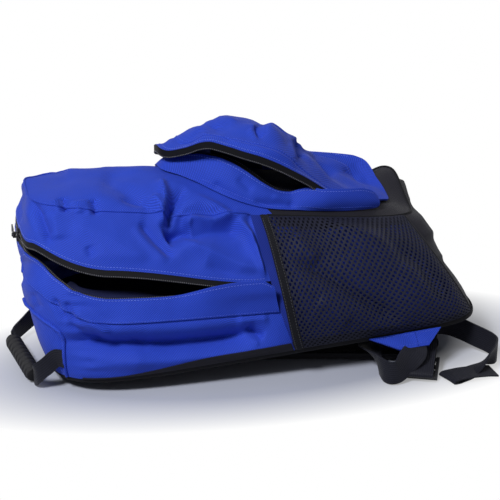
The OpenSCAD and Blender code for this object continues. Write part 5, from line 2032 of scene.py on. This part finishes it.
# %% Stitch lines on the small parts
for side in SIDES:
    is_far = side == "far"
    flip = MIRROR if is_far else 1.0
    k = np.linspace(0.06, 0.94, 40)
    for share, name in ((0.18, "low"), (0.86, "high")):
        stitched(f"stitch_wing_{name}_{side}", wing_skin(k, np.full(40, share), 0.25) * flip, SOFT_THREAD)
    v = np.linspace(0.04, 0.96, 30)
    piping(f"wing_seam_{side}", wing_skin(np.full(30, 0.62), v, 0.3) * flip, 0.8, BLUE_CLOTH, "blue_cloth")
    v = np.linspace(0.02, 0.98, 90)
    for share, name in ((0.15, "mouth"), (0.82, "inner")):
        a = MESH_A0 - HEM_DEG * (1 - share) + mouth_slant(v)
        line = mesh_skin(360 - a if is_far else a, v, HEM_OFF + 0.3 + hem_roll(share))
        stitched(f"stitch_hem_{name}_{side}", line, DARK_THREAD)
print("small parts stitched")

# %% [markdown]
# ## Floor and light
#
# The photograph is a plain studio picture: a pale floor that runs into a white background, and broad soft
# light from above. The floor is one large sheet. The world is white to the camera and dimmer to the bag,
# so the background stays white without overlighting the cloth.

# %% Floor
FLOOR_PALE, FLOOR_DARK = (186, 190, 206), (170, 175, 192)
FLOOR_SIZE, FLOOR_Z = 14.0, -0.0005
# Half sizes of the pool of floor that shows, and how far it lies toward the camera
POOL_X, POOL_Y, POOL_SHIFT = 0.26, 0.115, 0.07
WHITE = (1.0, 1.0, 1.0, 1.0)


def seen_straight(nodes):
    """1 for rays that bring the picture itself, straight or by gloss or glass, and 0 for light on the bag."""
    rays = nodes.node("ShaderNodeLightPath")
    found = Value(nodes, rays.outputs["Is Camera Ray"])
    for output in ("Is Glossy Ray", "Is Transmission Ray"):
        found = found.math("MAXIMUM", found, Value(nodes, rays.outputs[output]))
    return found


alone()
bpy.ops.mesh.primitive_plane_add(size=FLOOR_SIZE, location=(0.0, 0.0, FLOOR_Z))
floor = bpy.context.object
floor.name = "studio_floor"
paper = Finish("studio_paper")
spot = paper.where("Object")
paper.set(base_color=paper.blend(paper.noise(spot, 3.0, 2.0), FLOOR_DARK, FLOOR_PALE))
paper.set(roughness=0.85, specular_ior_level=0.15)
along, across, _ = paper.axes(spot)
across = across + POOL_SHIFT
away = along * along * (1 / POOL_X ** 2) + across * across * (1 / POOL_Y ** 2)
glow = paper.out("ShaderNodeEmission", None, {"Color": WHITE, "Strength": 1.0})
fade = seen_straight(paper) * (away * 0.8 - 0.55).clamped()
surface = Value(paper, paper.shader.outputs[0])
shown = paper.out("ShaderNodeMixShader", None, {0: fade, 1: surface, 2: glow})
paper.feed(paper.tree.nodes["Material Output"].inputs["Surface"], shown)
floor.data.materials.append(paper.material)
print("floor laid")

# %% World and lamps
WORLD_LIGHT, WORLD_TINT = 0.13, (0.97, 0.98, 1.0, 1.0)
KEY_POWER, KEY_SIZE, KEY_PLACE = 45.5, 0.5, (-1.15, -1.05, 1.8)
FILL_POWER, FILL_SIZE, FILL_PLACE = 2.0, 1.0, (0.3, 0.4, 1.7)
LAMP_AIM = (0.0, 0.0, 0.08)

world = bpy.data.worlds.new("studio_world")
bpy.context.scene.world = world
world.use_nodes = True
world.node_tree.nodes.clear()
sky = Nodes(world.node_tree)
lit = sky.out("ShaderNodeBackground", None, {"Color": WORLD_TINT, "Strength": WORLD_LIGHT})
white = sky.out("ShaderNodeBackground", None, {"Color": WHITE, "Strength": 1.0})
shown = sky.out("ShaderNodeMixShader", None, {0: seen_straight(sky), 1: lit, 2: white})
sky.node("ShaderNodeOutputWorld", None, {"Surface": shown})


def lamp(name, place, size, power):
    """A square soft box that points at the bag."""
    bpy.ops.object.light_add(type="AREA", location=place)
    made = bpy.context.object
    made.name = name
    made.data.size = size
    made.data.energy = power
    way = np.array(LAMP_AIM) - np.array(place)
    tip = math.acos(-way[2] / np.linalg.norm(way))
    made.rotation_euler = (tip, 0.0, math.atan2(way[0], -way[1]) + math.pi)


lamp("key_box", KEY_PLACE, KEY_SIZE, KEY_POWER)
lamp("fill_box", FILL_PLACE, FILL_SIZE, FILL_POWER)
bpy.context.scene.view_settings.view_transform = "Standard"
print("stage set")
